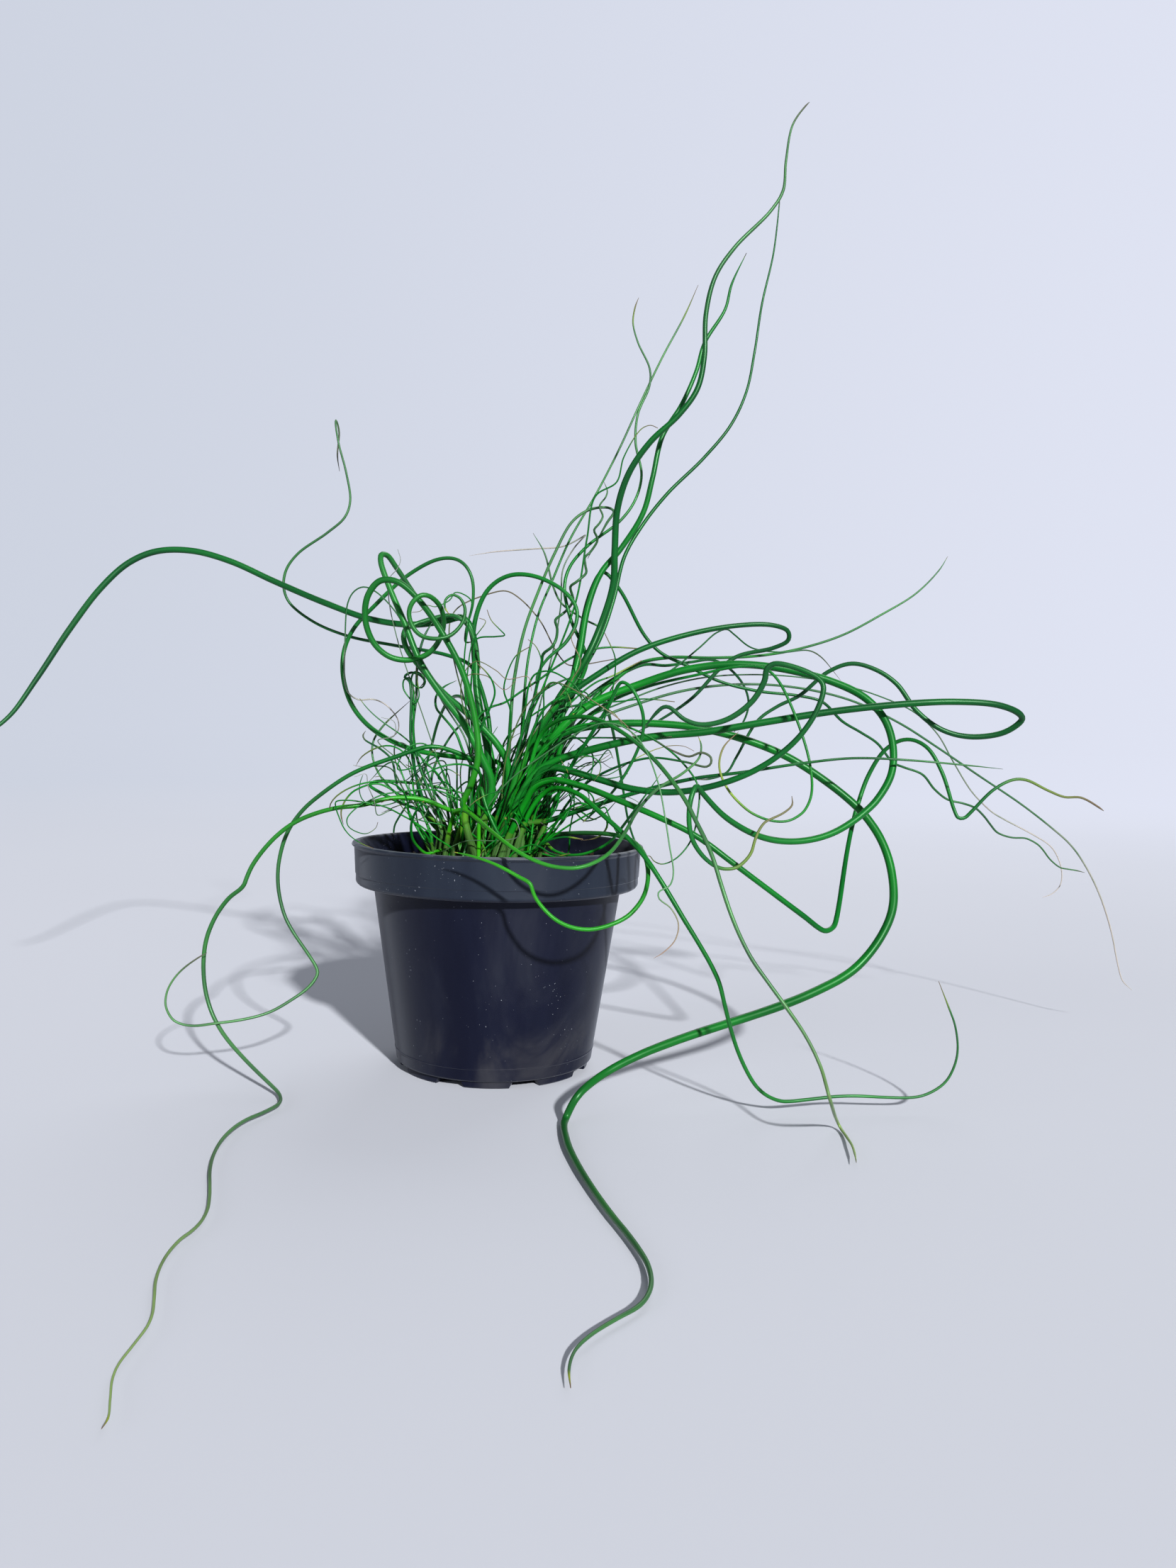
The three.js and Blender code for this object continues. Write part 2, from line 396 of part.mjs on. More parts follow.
    route: [[765, 1118, -17], [790, 1111, -24], [815, 1120, -32], [840, 1140, -40], [866, 1164, -46],
      [890, 1186, -51], [912, 1212, -55], [935, 1247, -58], [965, 1297, -60], [998, 1352, -61],
      [1014, 1385, -61], [1026, 1433, -61], [1038, 1475, -60], [1053, 1510, -59], [1072, 1538, -57],
      [1100, 1553, -55], [1140, 1551, -53], [1194, 1546, -51], [1250, 1548, -50], [1300, 1546, -49],
      [1334, 1526, -48], [1350, 1490, -47], [1348, 1450, -46], [1336, 1415, -45], [1324, 1384, -44]],
  },
  crook_right_core: {
    slot: [4, -2], green: 'mid', width: [1.6, 1.3, 0.9],
    route: [[805, 1080, -12], [835, 1035, -18], [855, 1003, -22], [866, 978, -25], [876, 963, -27],
      [888, 967, -29], [898, 983, -30], [907, 1008, -30], [906, 1036, -29], [895, 1066, -28],
      [880, 1093, -27], [862, 1118, -26], [842, 1141, -25], [822, 1160, -24]],
  },
  whip_right_back: {
    slot: [3, 3], green: 'mid', width: [1.3, 1.0, 0.7],
    route: [[800, 1050, 14], [850, 1011, 20], [890, 996, 24], [930, 984, 28], [975, 972, 32],
      [1030, 966, 36], [1085, 966, 40], [1140, 973, 44], [1190, 984, 47], [1240, 1006, 50],
      [1290, 1032, 53], [1340, 1067, 56], [1385, 1097, 58], [1430, 1127, 60], [1475, 1161, 62],
      [1512, 1194, 64], [1537, 1232, 65], [1556, 1275, 66], [1569, 1320, 67], [1578, 1366, 68],
      [1584, 1384, 68], [1597, 1397, 69]],
  },
  thread_right_back: {
    slot: [2, 3], green: 'dry', width: [1.1, 0.8, 0.7],
    route: [[795, 1040, 18], [880, 990, 34], [980, 958, 46], [1080, 952, 56], [1170, 962, 64],
      [1240, 982, 69], [1290, 1005, 72], [1322, 1035, 74], [1338, 1060, 75], [1352, 1090, 76],
      [1372, 1118, 77], [1400, 1146, 78], [1430, 1163, 79], [1460, 1179, 80], [1484, 1196, 80],
      [1497, 1224, 80], [1496, 1248, 80], [1484, 1261, 80], [1470, 1266, 80]],
  },
  arc_right_back: {
    slot: [4, 2], green: 'mid', width: [1.5, 1.1, 0.7],
    route: [[800, 1020, 12], [845, 972, 18], [880, 950, 23], [912, 937, 28], [945, 939, 33],
      [975, 934, 38], [1005, 931, 42], [1030, 944, 46], [1048, 965, 49], [1056, 990, 52],
      [1050, 1016, 54], [1034, 1034, 55]],
  },
  curl_right_high: {
    slot: [0, 0], green: 'pale', width: [1.2, 0.9, 0.7],
    route: [[770, 1010, 1], [830, 990, 6], [890, 975, 12], [945, 947, 18], [972, 926, 22],
      [992, 909, 25], [1010, 893, 27], [1026, 888, 29], [1040, 899, 31], [1056, 912, 33],
      [1085, 919, 35], [1115, 920, 37], [1142, 918, 39], [1162, 930, 41], [1186, 960, 43]],
  },
  loop_inside_rim: {
    slot: [4, -3], green: 'pale', width: [1.2, 1.0, 0.8],
    route: [[768, 1190, -15], [782, 1200, -20], [800, 1206, -24], [822, 1205, -28], [845, 1197, -31],
      [866, 1184, -34], [882, 1164, -36], [897, 1140, -38], [912, 1117, -40], [932, 1092, -42]],
  },
  thread_front_hanging: {
    slot: [-2, -3], green: 'dry', width: [0.9, 0.8, 0.7],
    route: [[700, 1120, -22], [790, 1050, -40], [850, 1020, -52], [890, 1032, -60], [912, 1060, -65],
      [926, 1095, -69], [936, 1140, -72], [944, 1190, -74], [950, 1232, -76], [945, 1249, -78],
      [929, 1259, -80], [930, 1268, -81], [946, 1281, -82], [957, 1303, -83], [953, 1325, -84],
      [938, 1342, -85], [922, 1352, -86]],
  },
  arch_back_right: {
    slot: [0, 4], green: 'mid', width: [2.0, 1.5, 0.8],
    route: [[790, 1050, 8], [812, 1008, 24], [832, 982, 42], [850, 984, 62], [862, 1020, 80],
      [872, 1070, 94], [880, 1120, 104], [888, 1165, 112], [902, 1200, 118], [922, 1226, 124],
      [936, 1256, 128]],
  },
  arch_back_left: {
    slot: [-3, 3], green: 'mid', width: [1.9, 1.4, 0.8],
    route: [[690, 1060, 12], [670, 1010, 28], [652, 984, 46], [633, 988, 64], [616, 1024, 80],
      [604, 1070, 92], [590, 1112, 102], [570, 1142, 110], [556, 1168, 116], [560, 1200, 122],
      [572, 1226, 126]],
  },
};

// ---- Tufts: short, thin, tightly curled stems that share a root ----
const TUFTS = [
  { name: 'tuft_left', slot: [-4, -2], lean: [-0.9, -0.2], count: 5, reach: 62 },
  { name: 'tuft_left_back', slot: [-2, 3], lean: [-0.6, 0.8], count: 5, reach: 60 },
  { name: 'tuft_front', slot: [0, -3], lean: [0.1, -0.9], count: 5, reach: 42 },
  { name: 'tuft_right', slot: [3, -3], lean: [0.9, -0.4], count: 6, reach: 58 },
  { name: 'tuft_right_high', slot: [0, -2], lean: [0.8, 0.1], count: 6, reach: 84 },
  { name: 'tuft_right_back', slot: [-1, 0], lean: [0.5, 0.9], count: 6, reach: 78 },
  { name: 'tuft_back', slot: [-2, 0], lean: [-0.2, 1.1], count: 6, reach: 70 },
];
const TUFT_SEED = 20418;
const TUFT_ROOT = [1.5, 1.6];
const TUFT_WIDTH = [1.1, 0.9, 0.7];
const TUFT_STEPS = 14;
const TUFT_BEND = [2, 5];
const TUFT_TWIST = 3.4;
const TUFT_TIGHTENING = 1.4;
const TUFT_SPREAD = 1.9;

// ---- Solids ----

/** Strip a geometry to merged positions, with its faces pointing out. */
function closed(geometry) {
  geometry.deleteAttribute('normal');
  geometry.deleteAttribute('uv');
  const merged = mergeVertices(geometry, 1e-4);
  const place = merged.getAttribute('position');
  const index = merged.getIndex().array;
  const corner = [new THREE.Vector3(), new THREE.Vector3(), new THREE.Vector3()];
  const kept = [];
  let volume = 0;
  for (let i = 0; i < index.length; i += 3) {
    const [a, b, c] = [index[i], index[i + 1], index[i + 2]];
    if (a === b || b === c || a === c) continue;
    kept.push(a, b, c);
    [a, b, c].forEach((vertex, k) => corner[k].fromBufferAttribute(place, vertex));
    volume += corner[0].dot(corner[1].cross(corner[2]));
  }
  merged.setIndex(volume < 0 ? kept.reverse() : kept);
  return merged;
}

/** A closed geometry as a solid that can be joined and cut. */
function solid(geometry) {
  const merged = closed(geometry);
  const vertProperties = Float32Array.from(merged.getAttribute('position').array);
  const triVerts = Uint32Array.from(merged.getIndex().array);
  return new wasm.Manifold(new wasm.Mesh({ numProp: 3, vertProperties, triVerts }));
}

/** A joined or cut solid back as a geometry. */
function geometryOf(body) {
  const mesh = body.getMesh();
  const geometry = new THREE.BufferGeometry();
  geometry.setAttribute('position', new THREE.BufferAttribute(Float32Array.from(mesh.vertProperties), 3));
  geometry.setIndex(new THREE.BufferAttribute(Uint32Array.from(mesh.triVerts), 1));
  return geometry;
}

function lathe(profile, sides) {
  const points = profile.map(([radius, height]) => new THREE.Vector2(radius, height));
  return new THREE.LatheGeometry(points, sides).rotateX(Math.PI / 2);
}

/** An upright prism with its axis at (x, y). */
function post(x, y, radius, low, high, sides) {
  const geometry = new THREE.CylinderGeometry(radius, radius, high - low, sides).rotateX(Math.PI / 2);
  return geometry.translate(x, y, (low + high) / 2);
}

function named(name, geometry, colour, roughness) {
  const mesh = new THREE.Mesh(geometry, new THREE.MeshStandardMaterial({ color: colour, roughness }));
  mesh.name = name;
  return mesh;
}

// ---- Pot ----

/** Radius of the pot's outside below the band. */
function bodyRadius(height) {
  return THREE.MathUtils.mapLinear(height, BODY_LOW, BAND_LOW, BODY_LOW_RADIUS, BODY_TOP_RADIUS);
}

/** Radius of the pot's inside, for the body below the shoulder and the band above it. */
function insideRadius(height) {
  return height < BAND_LOW + WALL ? bodyRadius(height) - WALL : BAND_LOW_RADIUS - WALL;
}

function potGeometry() {
  const shoulder = BAND_LOW + WALL;
  const profile = [
    [0, 0], [PAD_RADIUS, 0], [PAD_RADIUS + 1.5, FLOOR_LOW], [FOOT_INNER - 0.5, FLOOR_LOW], [FOOT_INNER, 0],
    [FOOT_OUTER, 0], [FOOT_OUTER, BODY_LOW - 0.6], [BODY_LOW_RADIUS, BODY_LOW],
    [bodyRadius(BAND_LOW), BAND_LOW], [BAND_LOW_RADIUS - BAND_ROUND, BAND_LOW],
    [BAND_LOW_RADIUS - 0.3 * BAND_ROUND, BAND_LOW + 0.3 * BAND_ROUND],
    [BAND_LOW_RADIUS, BAND_LOW + BAND_ROUND], [BAND_LOW_RADIUS + BAND_STEP_DEPTH / 2, BAND_STEP],
    [BAND_LOW_RADIUS + BAND_STEP_DEPTH, BAND_STEP + 0.3], [BAND_TOP_RADIUS, RIM_TOP - LIP_DEPTH],
    [RIM_RADIUS, RIM_TOP - 0.7 * LIP_DEPTH], [RIM_RADIUS, RIM_TOP], [RIM_RADIUS - LIP_WIDTH, RIM_TOP],
    [insideRadius(RIM_TOP), RIM_TOP - 1], [insideRadius(shoulder), shoulder],
    [bodyRadius(shoulder) - WALL, shoulder], [bodyRadius(FLOOR_TOP) - WALL, FLOOR_TOP], [0, FLOOR_TOP],
  ];
  let pot = solid(lathe(profile, POT_SIDES));
  for (let i = 0; i < NOTCH_COUNT; i += 1) {
    const angle = (i + 0.5) * 2 * Math.PI / NOTCH_COUNT;
    const notch = new THREE.BoxGeometry(FOOT_OUTER - FOOT_INNER + 4, NOTCH_WIDTH, 2 * (BODY_LOW - 0.8));
    pot = pot.subtract(solid(notch.translate((FOOT_OUTER + FOOT_INNER) / 2, 0, 0).rotateZ(angle)));
  }
  for (let i = 0; i < DRAIN_COUNT; i += 1) {
    const angle = i * 2 * Math.PI / DRAIN_COUNT;
    const [x, y] = [DRAIN_RING * Math.cos(angle), DRAIN_RING * Math.sin(angle)];
    pot = pot.subtract(solid(post(x, y, DRAIN_RADIUS, 0, FLOOR_TOP + 1, 8)));
  }
  return geometryOf(pot);
}

// ---- Crown and soil ----

/** Where a crown slot lies. */
function slotPlace([column, row]) {
  const shift = Math.abs(row) % 2 === 1 ? 0.5 : 0;
  return [CROWN_X + (column + shift) * ROOT_PITCH, row * ROW_PITCH];
}

function soilGeometry(holes) {
  const shoulder = BAND_LOW + WALL + FIT;
  const profile = [
    [0, FLOOR_TOP + FIT], [bodyRadius(FLOOR_TOP) - WALL - FIT, FLOOR_TOP + FIT],
    [bodyRadius(shoulder) - WALL - FIT - 0.3, shoulder], [insideRadius(shoulder) - FIT, shoulder],
    [insideRadius(SOIL_TOP) - FIT, SOIL_TOP - SOIL_CROWN], [insideRadius(SOIL_TOP) - 8, SOIL_TOP],
    [0, SOIL_TOP],
  ];
  let soil = solid(lathe(profile, SOIL_SIDES));
  for (const { x, y, radius } of holes) {
    const across = (radius + FIT) / Math.cos(Math.PI / HOLE_SIDES);
    soil = soil.subtract(solid(post(x, y, across, SOIL_TOP - HOLE_DEPTH, SOIL_TOP + 1, HOLE_SIDES)));
  }
  return geometryOf(soil);
}

// ---- Routes ----

/** Direction from the eye to a point of the sheet. */
function sightLine(across, down) {
  const away = new THREE.Vector3(0, Math.cos(EYE_DOWN), -Math.sin(EYE_DOWN));
  const level = new THREE.Vector3(1, 0, 0);
  const upright = new THREE.Vector3(0, Math.sin(EYE_DOWN), Math.cos(EYE_DOWN));
  const right = level.clone().multiplyScalar(Math.cos(EYE_TURN)).addScaledVector(upright, Math.sin(EYE_TURN));
  const up = upright.clone().multiplyScalar(Math.cos(EYE_TURN)).addScaledVector(level, -Math.sin(EYE_TURN));
  return away.addScaledVector(right, (across - SHEET_MIDDLE[0]) / SHEET_AWAY)
    .addScaledVector(up, (SHEET_MIDDLE[1] - down) / SHEET_AWAY);
}

/** A drawn point at its own depth, or lying on the surface. */
function placed([across, down, depth]) {
  const line = sightLine(across, down);
  const reach = depth === LIES ? (LIE_HEIGHT - EYE.z) / line.z : (depth - EYE.y) / line.y;
  return EYE.clone().addScaledVector(line, reach);
}

/** Straight up out of the soil, then through the drawn points. */
function routeFrom(slot, drawn) {
  const [x, y] = slotPlace(slot);
  const root = [SOIL_TOP - ROOT_DEPTH, SOIL_TOP, SOIL_TOP + ROOT_RISE].map((z) => new THREE.Vector3(x, y, z));
  return [...root, ...drawn];
}

/** Radius at a fraction of the way along, from the diameters at the root, halfway and at the tip. */
function radiusAt([root, middle, tip], along) {
  const diameter = along < 0.5
    ? THREE.MathUtils.lerp(root, middle, along * 2)
    : THREE.MathUtils.lerp(middle, tip, along * 2 - 1);
  return Math.max(diameter, LEAST_DIAMETER) / 2;
}

/**
 * Ring centres along a route: close together where it bends, wide apart where it runs straight.
 * The first two, at the foot and at the soil's top, stay where they are.
 */
function ringsAlong(points, width, fineStep, turnPerRing) {
  const curve = new THREE.CatmullRomCurve3(points, false, 'centripetal');
  const length = curve.getLength();
  const fine = Math.ceil(length / fineStep);
  curve.arcLengthDivisions = fine * 2;
  curve.updateArcLengths();
  const rings = [];
  const step = length / fine;
  let turned = 0;
  let heading = curve.getTangentAt(0);
  for (let i = 0; i <= fine; i += 1) {
    const along = i / fine;
    const centre = curve.getPointAt(along);
    const tangent = curve.getTangentAt(along);
    turned += tangent.angleTo(heading) + step * RUN_COST;
    heading = tangent;
    const inCrown = centre.z < SOIL_TOP + CROWN_HEIGHT;
    const standing = rings.length < 2 && (rings.length === 0 || centre.z > SOIL_TOP + 0.5);
    const bending = rings.length >= 2 && turned > (inCrown ? CROWN_TURN : turnPerRing);
    if (!standing && !bending && i < fine) continue;
    rings.push({ centre, radius: radiusAt(width, along), rooted: rings.length < 2 });
    turned = 0;
  }
  return rings;
}

// ---- Bending clear ----

/** Closest points of two short runs: how far along each, and the way from the first to the second. */
function closest(p1, q1, p2, q2) {
  const d1 = q1.clone().sub(p1);
  const d2 = q2.clone().sub(p2);
  const r = p1.clone().sub(p2);
  const [a, e, b, c, f] = [d1.dot(d1), d2.dot(d2), d1.dot(d2), d1.dot(r), d2.dot(r)];
  const spread = a * e - b * b;
  let s = spread > 1e-9 ? THREE.MathUtils.clamp((b * f - c * e) / spread, 0, 1) : 0;
  const t = THREE.MathUtils.clamp((b * s + f) / e, 0, 1);
  s = THREE.MathUtils.clamp((b * t - c) / a, 0, 1);
  const apart = p2.clone().addScaledVector(d2, t).sub(p1).addScaledVector(d1, -s);
  return { s, t, apart };
}

/** Every run between two rings, with the box that it and its gap fill, in order across the plant. */
function runsOf(stems) {
  const runs = [];
  stems.forEach((stem, owner) => {
    let along = 0;
    for (let i = 0; i + 1 < stem.rings.length; i += 1) {
      const [p, q] = [stem.rings[i].centre, stem.rings[i + 1].centre];
      const radius = Math.max(stem.rings[i].radius, stem.rings[i + 1].radius);
      const reach = radius + STEM_GAP / 2;
      const length = p.distanceTo(q);
      const box = new THREE.Box3().setFromPoints([p, q]).expandByScalar(reach);
      runs.push({ owner, stem, i, p, q, radius, box, from: along, to: along + length });
      along += length;
    }
  });
  return runs.sort((first, second) => first.box.min.x - second.box.min.x);
}

/** Push one run's two rings, the nearer one more. */
function push(run, share, shift) {
  run.stem.push[run.i].addScaledVector(shift, 1 - share);
  run.stem.push[run.i + 1].addScaledVector(shift, share);
}

/** Push apart every two runs that come too close, save those joined in one tuft. Gives the worst overlap. */
function pushApart(stems) {
  const runs = runsOf(stems);
  let worst = 0;
  for (let i = 0; i < runs.length; i += 1) {
    for (let j = i + 1; j < runs.length && runs[j].box.min.x < runs[i].box.max.x; j += 1) {
      const [one, two] = [runs[i], runs[j]];
      if (!one.box.intersectsBox(two.box)) continue;
      const need = one.radius + two.radius + STEM_GAP;
      const between = Math.max(one.from, two.from) - Math.min(one.to, two.to);
      const joined = one.owner === two.owner ? between < 3 * need : one.stem.name === two.stem.name;
      if (joined) continue;
      const { s, t, apart } = closest(one.p, one.q, two.p, two.q);
      const distance = apart.length();
      if (distance >= need) continue;
      const way = distance > 0.02 ? apart.divideScalar(distance) : AWAY.clone();
      const shift = way.multiplyScalar((need - distance) * PUSH_SHARE);
      push(one, s, shift.clone().negate());
      push(two, t, shift);
      worst = Math.max(worst, need - distance);
    }
  }
  return worst;
}

/** Keep a ring clear of the surface below, the soil and the pot's wall and rim. */
function clearOfHolder(centre, radius) {
  const gap = radius + STEM_GAP;
  const out = Math.hypot(centre.x, centre.y);
  centre.z = Math.max(centre.z, gap);
  if (out < insideRadius(RIM_TOP) && centre.z < SOIL_TOP + gap) centre.z = SOIL_TOP + gap;
  if (centre.z > RIM_TOP + gap || out < 1) return;
  const outside = centre.z > BAND_LOW - gap ? RIM_RADIUS : bodyRadius(centre.z);
  const middle = (outside + insideRadius(Math.max(centre.z, BAND_LOW + WALL))) / 2;
  const wanted = out > middle ? Math.max(out, outside + gap) : Math.min(out, insideRadius(RIM_TOP) - 1 - gap);
  const rise = RIM_TOP + gap - centre.z;
  if (rise > 0 && rise < Math.abs(wanted - out)) {
    centre.z = RIM_TOP + gap;
    return;
  }
  centre.x *= wanted / out;
  centre.y *= wanted / out;
}

/** Bend every stem clear of the others, of itself and of the pot, a little at a time. */
function bendClear(stems) {
  for (let round = 0; round < BEND_ROUNDS; round += 1) {
    stems.forEach((stem) => { stem.push = stem.rings.map(() => new THREE.Vector3()); });
    const worst = pushApart(stems);
    for (const { rings, push: pushes } of stems) {
      rings.forEach(({ centre, radius, rooted }, i) => {
        if (rooted) return;
        const beside = pushes[i - 1].clone().add(pushes[Math.min(i + 1, rings.length - 1)]);
        centre.addScaledVector(pushes[i], PUSH_OWN).addScaledVector(beside, PUSH_BESIDE);
        clearOfHolder(centre, radius);
      });
    }
    if (worst < CLOSE_ENOUGH) return;
  }
}

// ---- Stem solids ----

/** A tube through the rings, flat at the root and drawn to a point at the tip. */
function stemGeometry(rings, sides) {
  const last = rings.length - 1;
  const place = [];
  const index = [];
  let side = new THREE.Vector3(1, 0, 0);
  let before = new THREE.Vector3(0, 0, 1);
  for (let i = 0; i < last; i += 1) {
    const here = rings[i].centre;
    const tangent = rings[i + 1].centre.clone().sub(rings[Math.max(i - 1, 0)].centre).normalize();
    side.applyQuaternion(new THREE.Quaternion().setFromUnitVectors(before, tangent));
    side.addScaledVector(tangent, -side.dot(tangent)).normalize();
    before = tangent;
    const other = tangent.clone().cross(side);
    for (let k = 0; k < sides; k += 1) {
      const angle = 2 * Math.PI * k / sides;
      const corner = here.clone().addScaledVector(side, rings[i].radius * Math.cos(angle));
      corner.addScaledVector(other, rings[i].radius * Math.sin(angle));
      place.push(corner.x, corner.y, corner.z);
      const next = (k + 1) % sides;
      if (i > 0) {
        const [low, high] = [(i - 1) * sides, i * sides];
        index.push(low + k, low + next, high + next, low + k, high + next, high + k);
      }
    }
  }
  place.push(...rings[last].centre.toArray());
  const [tip, rim] = [last * sides, (last - 1) * sides];
  for (let k = 0; k < sides; k += 1) index.push(rim + k, rim + (k + 1) % sides, tip);
  for (let k = 1; k + 1 < sides; k += 1) index.push(0, k + 1, k);
  const geometry = new THREE.BufferGeometry();
  geometry.setAttribute('position', new THREE.Float32BufferAttribute(place, 3));
  geometry.setIndex(index);
  return geometry;
}

// ---- Tufts ----

/** Seeded draw between 0 and 1. */
function drawFrom(seed) {
  let state = seed;
  return () => {
    state = (Math.imul(state, 1664525) + 1013904223) >>> 0;
    return state / 2 ** 32;
  };
}

/** One curly stem of a tuft: it rises, then turns over outwards, tighter and tighter, as it twists. */
function tuftRoute([x, y], [leanX, leanY], reach, draw) {
  const lean = Math.atan2(leanY, leanX) + (draw() - 0.5) * TUFT_SPREAD;
  const long = reach * (0.7 + 0.6 * draw());
  const bend = TUFT_BEND[0] + (TUFT_BEND[1] - TUFT_BEND[0]) * draw();
  const twist = (draw() - 0.5) * TUFT_TWIST;
  const slant = 0.15 + 0.5 * draw();
  const heading = new THREE.Vector3(slant * Math.cos(lean), slant * Math.sin(lean), 1).normalize();
  const hinge = new THREE.Vector3(-Math.sin(lean), Math.cos(lean), 0);
  const place = new THREE.Vector3(x, y, SOIL_TOP + ROOT_RISE);
  const points = [];
  for (let i = 1; i <= TUFT_STEPS; i += 1) {
    const along = (i - 0.5) / TUFT_STEPS;
    place.addScaledVector(heading, long / TUFT_STEPS);
    points.push(place.clone());
    heading.applyAxisAngle(hinge, bend * (1 + TUFT_TIGHTENING) * along ** TUFT_TIGHTENING / TUFT_STEPS);
    hinge.applyAxisAngle(heading, twist / TUFT_STEPS);
  }
  return points;
}

// ---- The plant ----

const stems = Object.entries(STEMS).map(([name, { slot, green, width, route }]) => {
  const rings = ringsAlong(routeFrom(slot, route.map(placed)), width, 1, TURN_PER_RING);
  return { name, rings, green, slot, sides: width[0] >= THICK_FROM ? THICK_SIDES : THIN_SIDES };
});

const draw = drawFrom(TUFT_SEED);
const tuftStems = TUFTS.flatMap(({ name, slot, lean, count, reach }) => {
  const [x, y] = slotPlace(slot);
  return Array.from({ length: count }, (_, k) => {
    const spot = [x + 0.8 * Math.cos(2.4 * k), y + 0.8 * Math.sin(2.4 * k)];
    const foot = new THREE.Vector3(...spot, SOIL_TOP - 1);
    const neck = new THREE.Vector3(...spot, SOIL_TOP + ROOT_RISE);
    const points = [foot, neck, ...tuftRoute(spot, lean, reach, draw)];
    return { name, rings: ringsAlong(points, TUFT_WIDTH, 1, TUFT_TURN), sides: THIN_SIDES };
  });
});

bendClear([...stems, ...tuftStems]);

const plant = new THREE.Group();
plant.add(named('pot', potGeometry(), POT_COLOUR, 0.5));

const holes = [
  ...stems.map(({ slot, rings }) => [slot, rings[0].radius]),
  ...TUFTS.map(({ slot }) => [slot, TUFT_ROOT[0]]),
].map(([slot, radius]) => {
  const [x, y] = slotPlace(slot);
  return { x, y, radius };
});
plant.add(named('soil', soilGeometry(holes), SOIL_COLOUR, 0.95));

for (const { name, rings, sides, green } of stems) {
  plant.add(named(name, closed(stemGeometry(rings, sides)), GREENS[green], 0.4));
}

for (const { name, slot } of TUFTS) {
  const [x, y] = slotPlace(slot);
  const [radius, rise] = TUFT_ROOT;
  let tuft = solid(post(x, y, radius, SOIL_TOP - ROOT_DEPTH, SOIL_TOP + rise, HOLE_SIDES));
  tuftStems.filter((stem) => stem.name === name).forEach(({ rings, sides }) => {
    tuft = tuft.add(solid(stemGeometry(rings, sides)));
  });
  plant.add(named(name, geometryOf(tuft), GREENS.mid, 0.45));
}

export default plant;
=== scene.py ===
import json
import math
import random

import bmesh
import bpy
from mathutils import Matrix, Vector


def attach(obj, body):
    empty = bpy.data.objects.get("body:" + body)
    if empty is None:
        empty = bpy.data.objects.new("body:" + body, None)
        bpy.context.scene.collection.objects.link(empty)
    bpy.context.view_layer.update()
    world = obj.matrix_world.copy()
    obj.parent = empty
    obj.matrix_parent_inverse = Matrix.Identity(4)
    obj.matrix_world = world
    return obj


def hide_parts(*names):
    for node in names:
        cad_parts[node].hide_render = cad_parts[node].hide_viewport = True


MM = 0.001
TAU = 2 * math.pi

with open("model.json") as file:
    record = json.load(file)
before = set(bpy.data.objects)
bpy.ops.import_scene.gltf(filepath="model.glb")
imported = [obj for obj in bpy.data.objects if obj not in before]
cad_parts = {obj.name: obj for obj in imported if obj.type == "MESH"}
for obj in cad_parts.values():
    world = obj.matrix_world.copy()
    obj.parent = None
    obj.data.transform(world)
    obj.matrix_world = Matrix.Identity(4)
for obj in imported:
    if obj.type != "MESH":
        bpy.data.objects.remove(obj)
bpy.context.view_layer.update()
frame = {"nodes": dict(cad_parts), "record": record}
NODES = frame["nodes"]
SLOT_OF = {}


# ---- The eye ----

EYE = Vector((0.0319, -0.428, 0.1217))
EYE_DOWN = math.radians(2.56)
EYE_TURN = math.radians(1.39)
SHEET_AWAY = 1665
SHEET_WIDE = 1659
SHEET_HIGH = 2212
SENSOR = 36
SEEN_FROM = 0.01
SEEN_TO = 30


def eye_axes():
    """The eye's right, up and away. It looks a little down, with its head a little turned."""
    level = Vector((1, 0, 0))
    upright = Vector((0, math.sin(EYE_DOWN), math.cos(EYE_DOWN)))
    away = Vector((0, math.cos(EYE_DOWN), -math.sin(EYE_DOWN)))
    right = level * math.cos(EYE_TURN) + upright * math.sin(EYE_TURN)
    up = upright * math.cos(EYE_TURN) - level * math.sin(EYE_TURN)
    return right, up, away


RIGHT, UP, OUT = eye_axes()


def placed(across, down, depth):
    """A point of the sheet in front of the eye, moved along its sight line to a depth."""
    line = OUT + RIGHT * ((across - SHEET_WIDE / 2) / SHEET_AWAY)
    line += UP * ((SHEET_HIGH / 2 - down) / SHEET_AWAY)
    return EYE + line * ((depth * MM - EYE.y) / line.y)


def add_camera():
    """A camera at the eye; the sensor's size is that of the frame's long side."""
    data = bpy.data.cameras.new("camera")
    data.sensor_width = SENSOR
    data.lens = SENSOR * SHEET_AWAY / SHEET_HIGH
    data.clip_start = SEEN_FROM
    data.clip_end = SEEN_TO
    camera = bpy.data.objects.new("camera", data)
    bpy.context.collection.objects.link(camera)
    matrix = camera.matrix_world.copy()
    for row in range(3):
        matrix[row][0] = RIGHT[row]
        matrix[row][1] = UP[row]
        matrix[row][2] = -OUT[row]
        matrix[row][3] = EYE[row]
    camera.matrix_world = matrix
    bpy.context.scene.camera = camera


# ---- Node helpers ----

def node(tree, kind, inputs=None, **settings):
    """Adds a node; an input is given a value, or linked where it's another node's output."""
    made = tree.nodes.new(kind)
    for key, value in settings.items():
        setattr(made, key, value)
    for key, value in (inputs or {}).items():
        socket = made.inputs[key]
        if isinstance(value, bpy.types.NodeSocket):
            tree.links.new(value, socket)
        else:
            socket.default_value = value
    return made


def calc(tree, operation, first, second=0.0):
    """A Math node's result."""
    return node(tree, "ShaderNodeMath", {0: first, 1: second}, operation=operation).outputs[0]


def total(tree, first, second):
    """Two values added up."""
    return calc(tree, "ADD", first, second)


def times(tree, first, second):
    """Two values multiplied."""
    return calc(tree, "MULTIPLY", first, second)


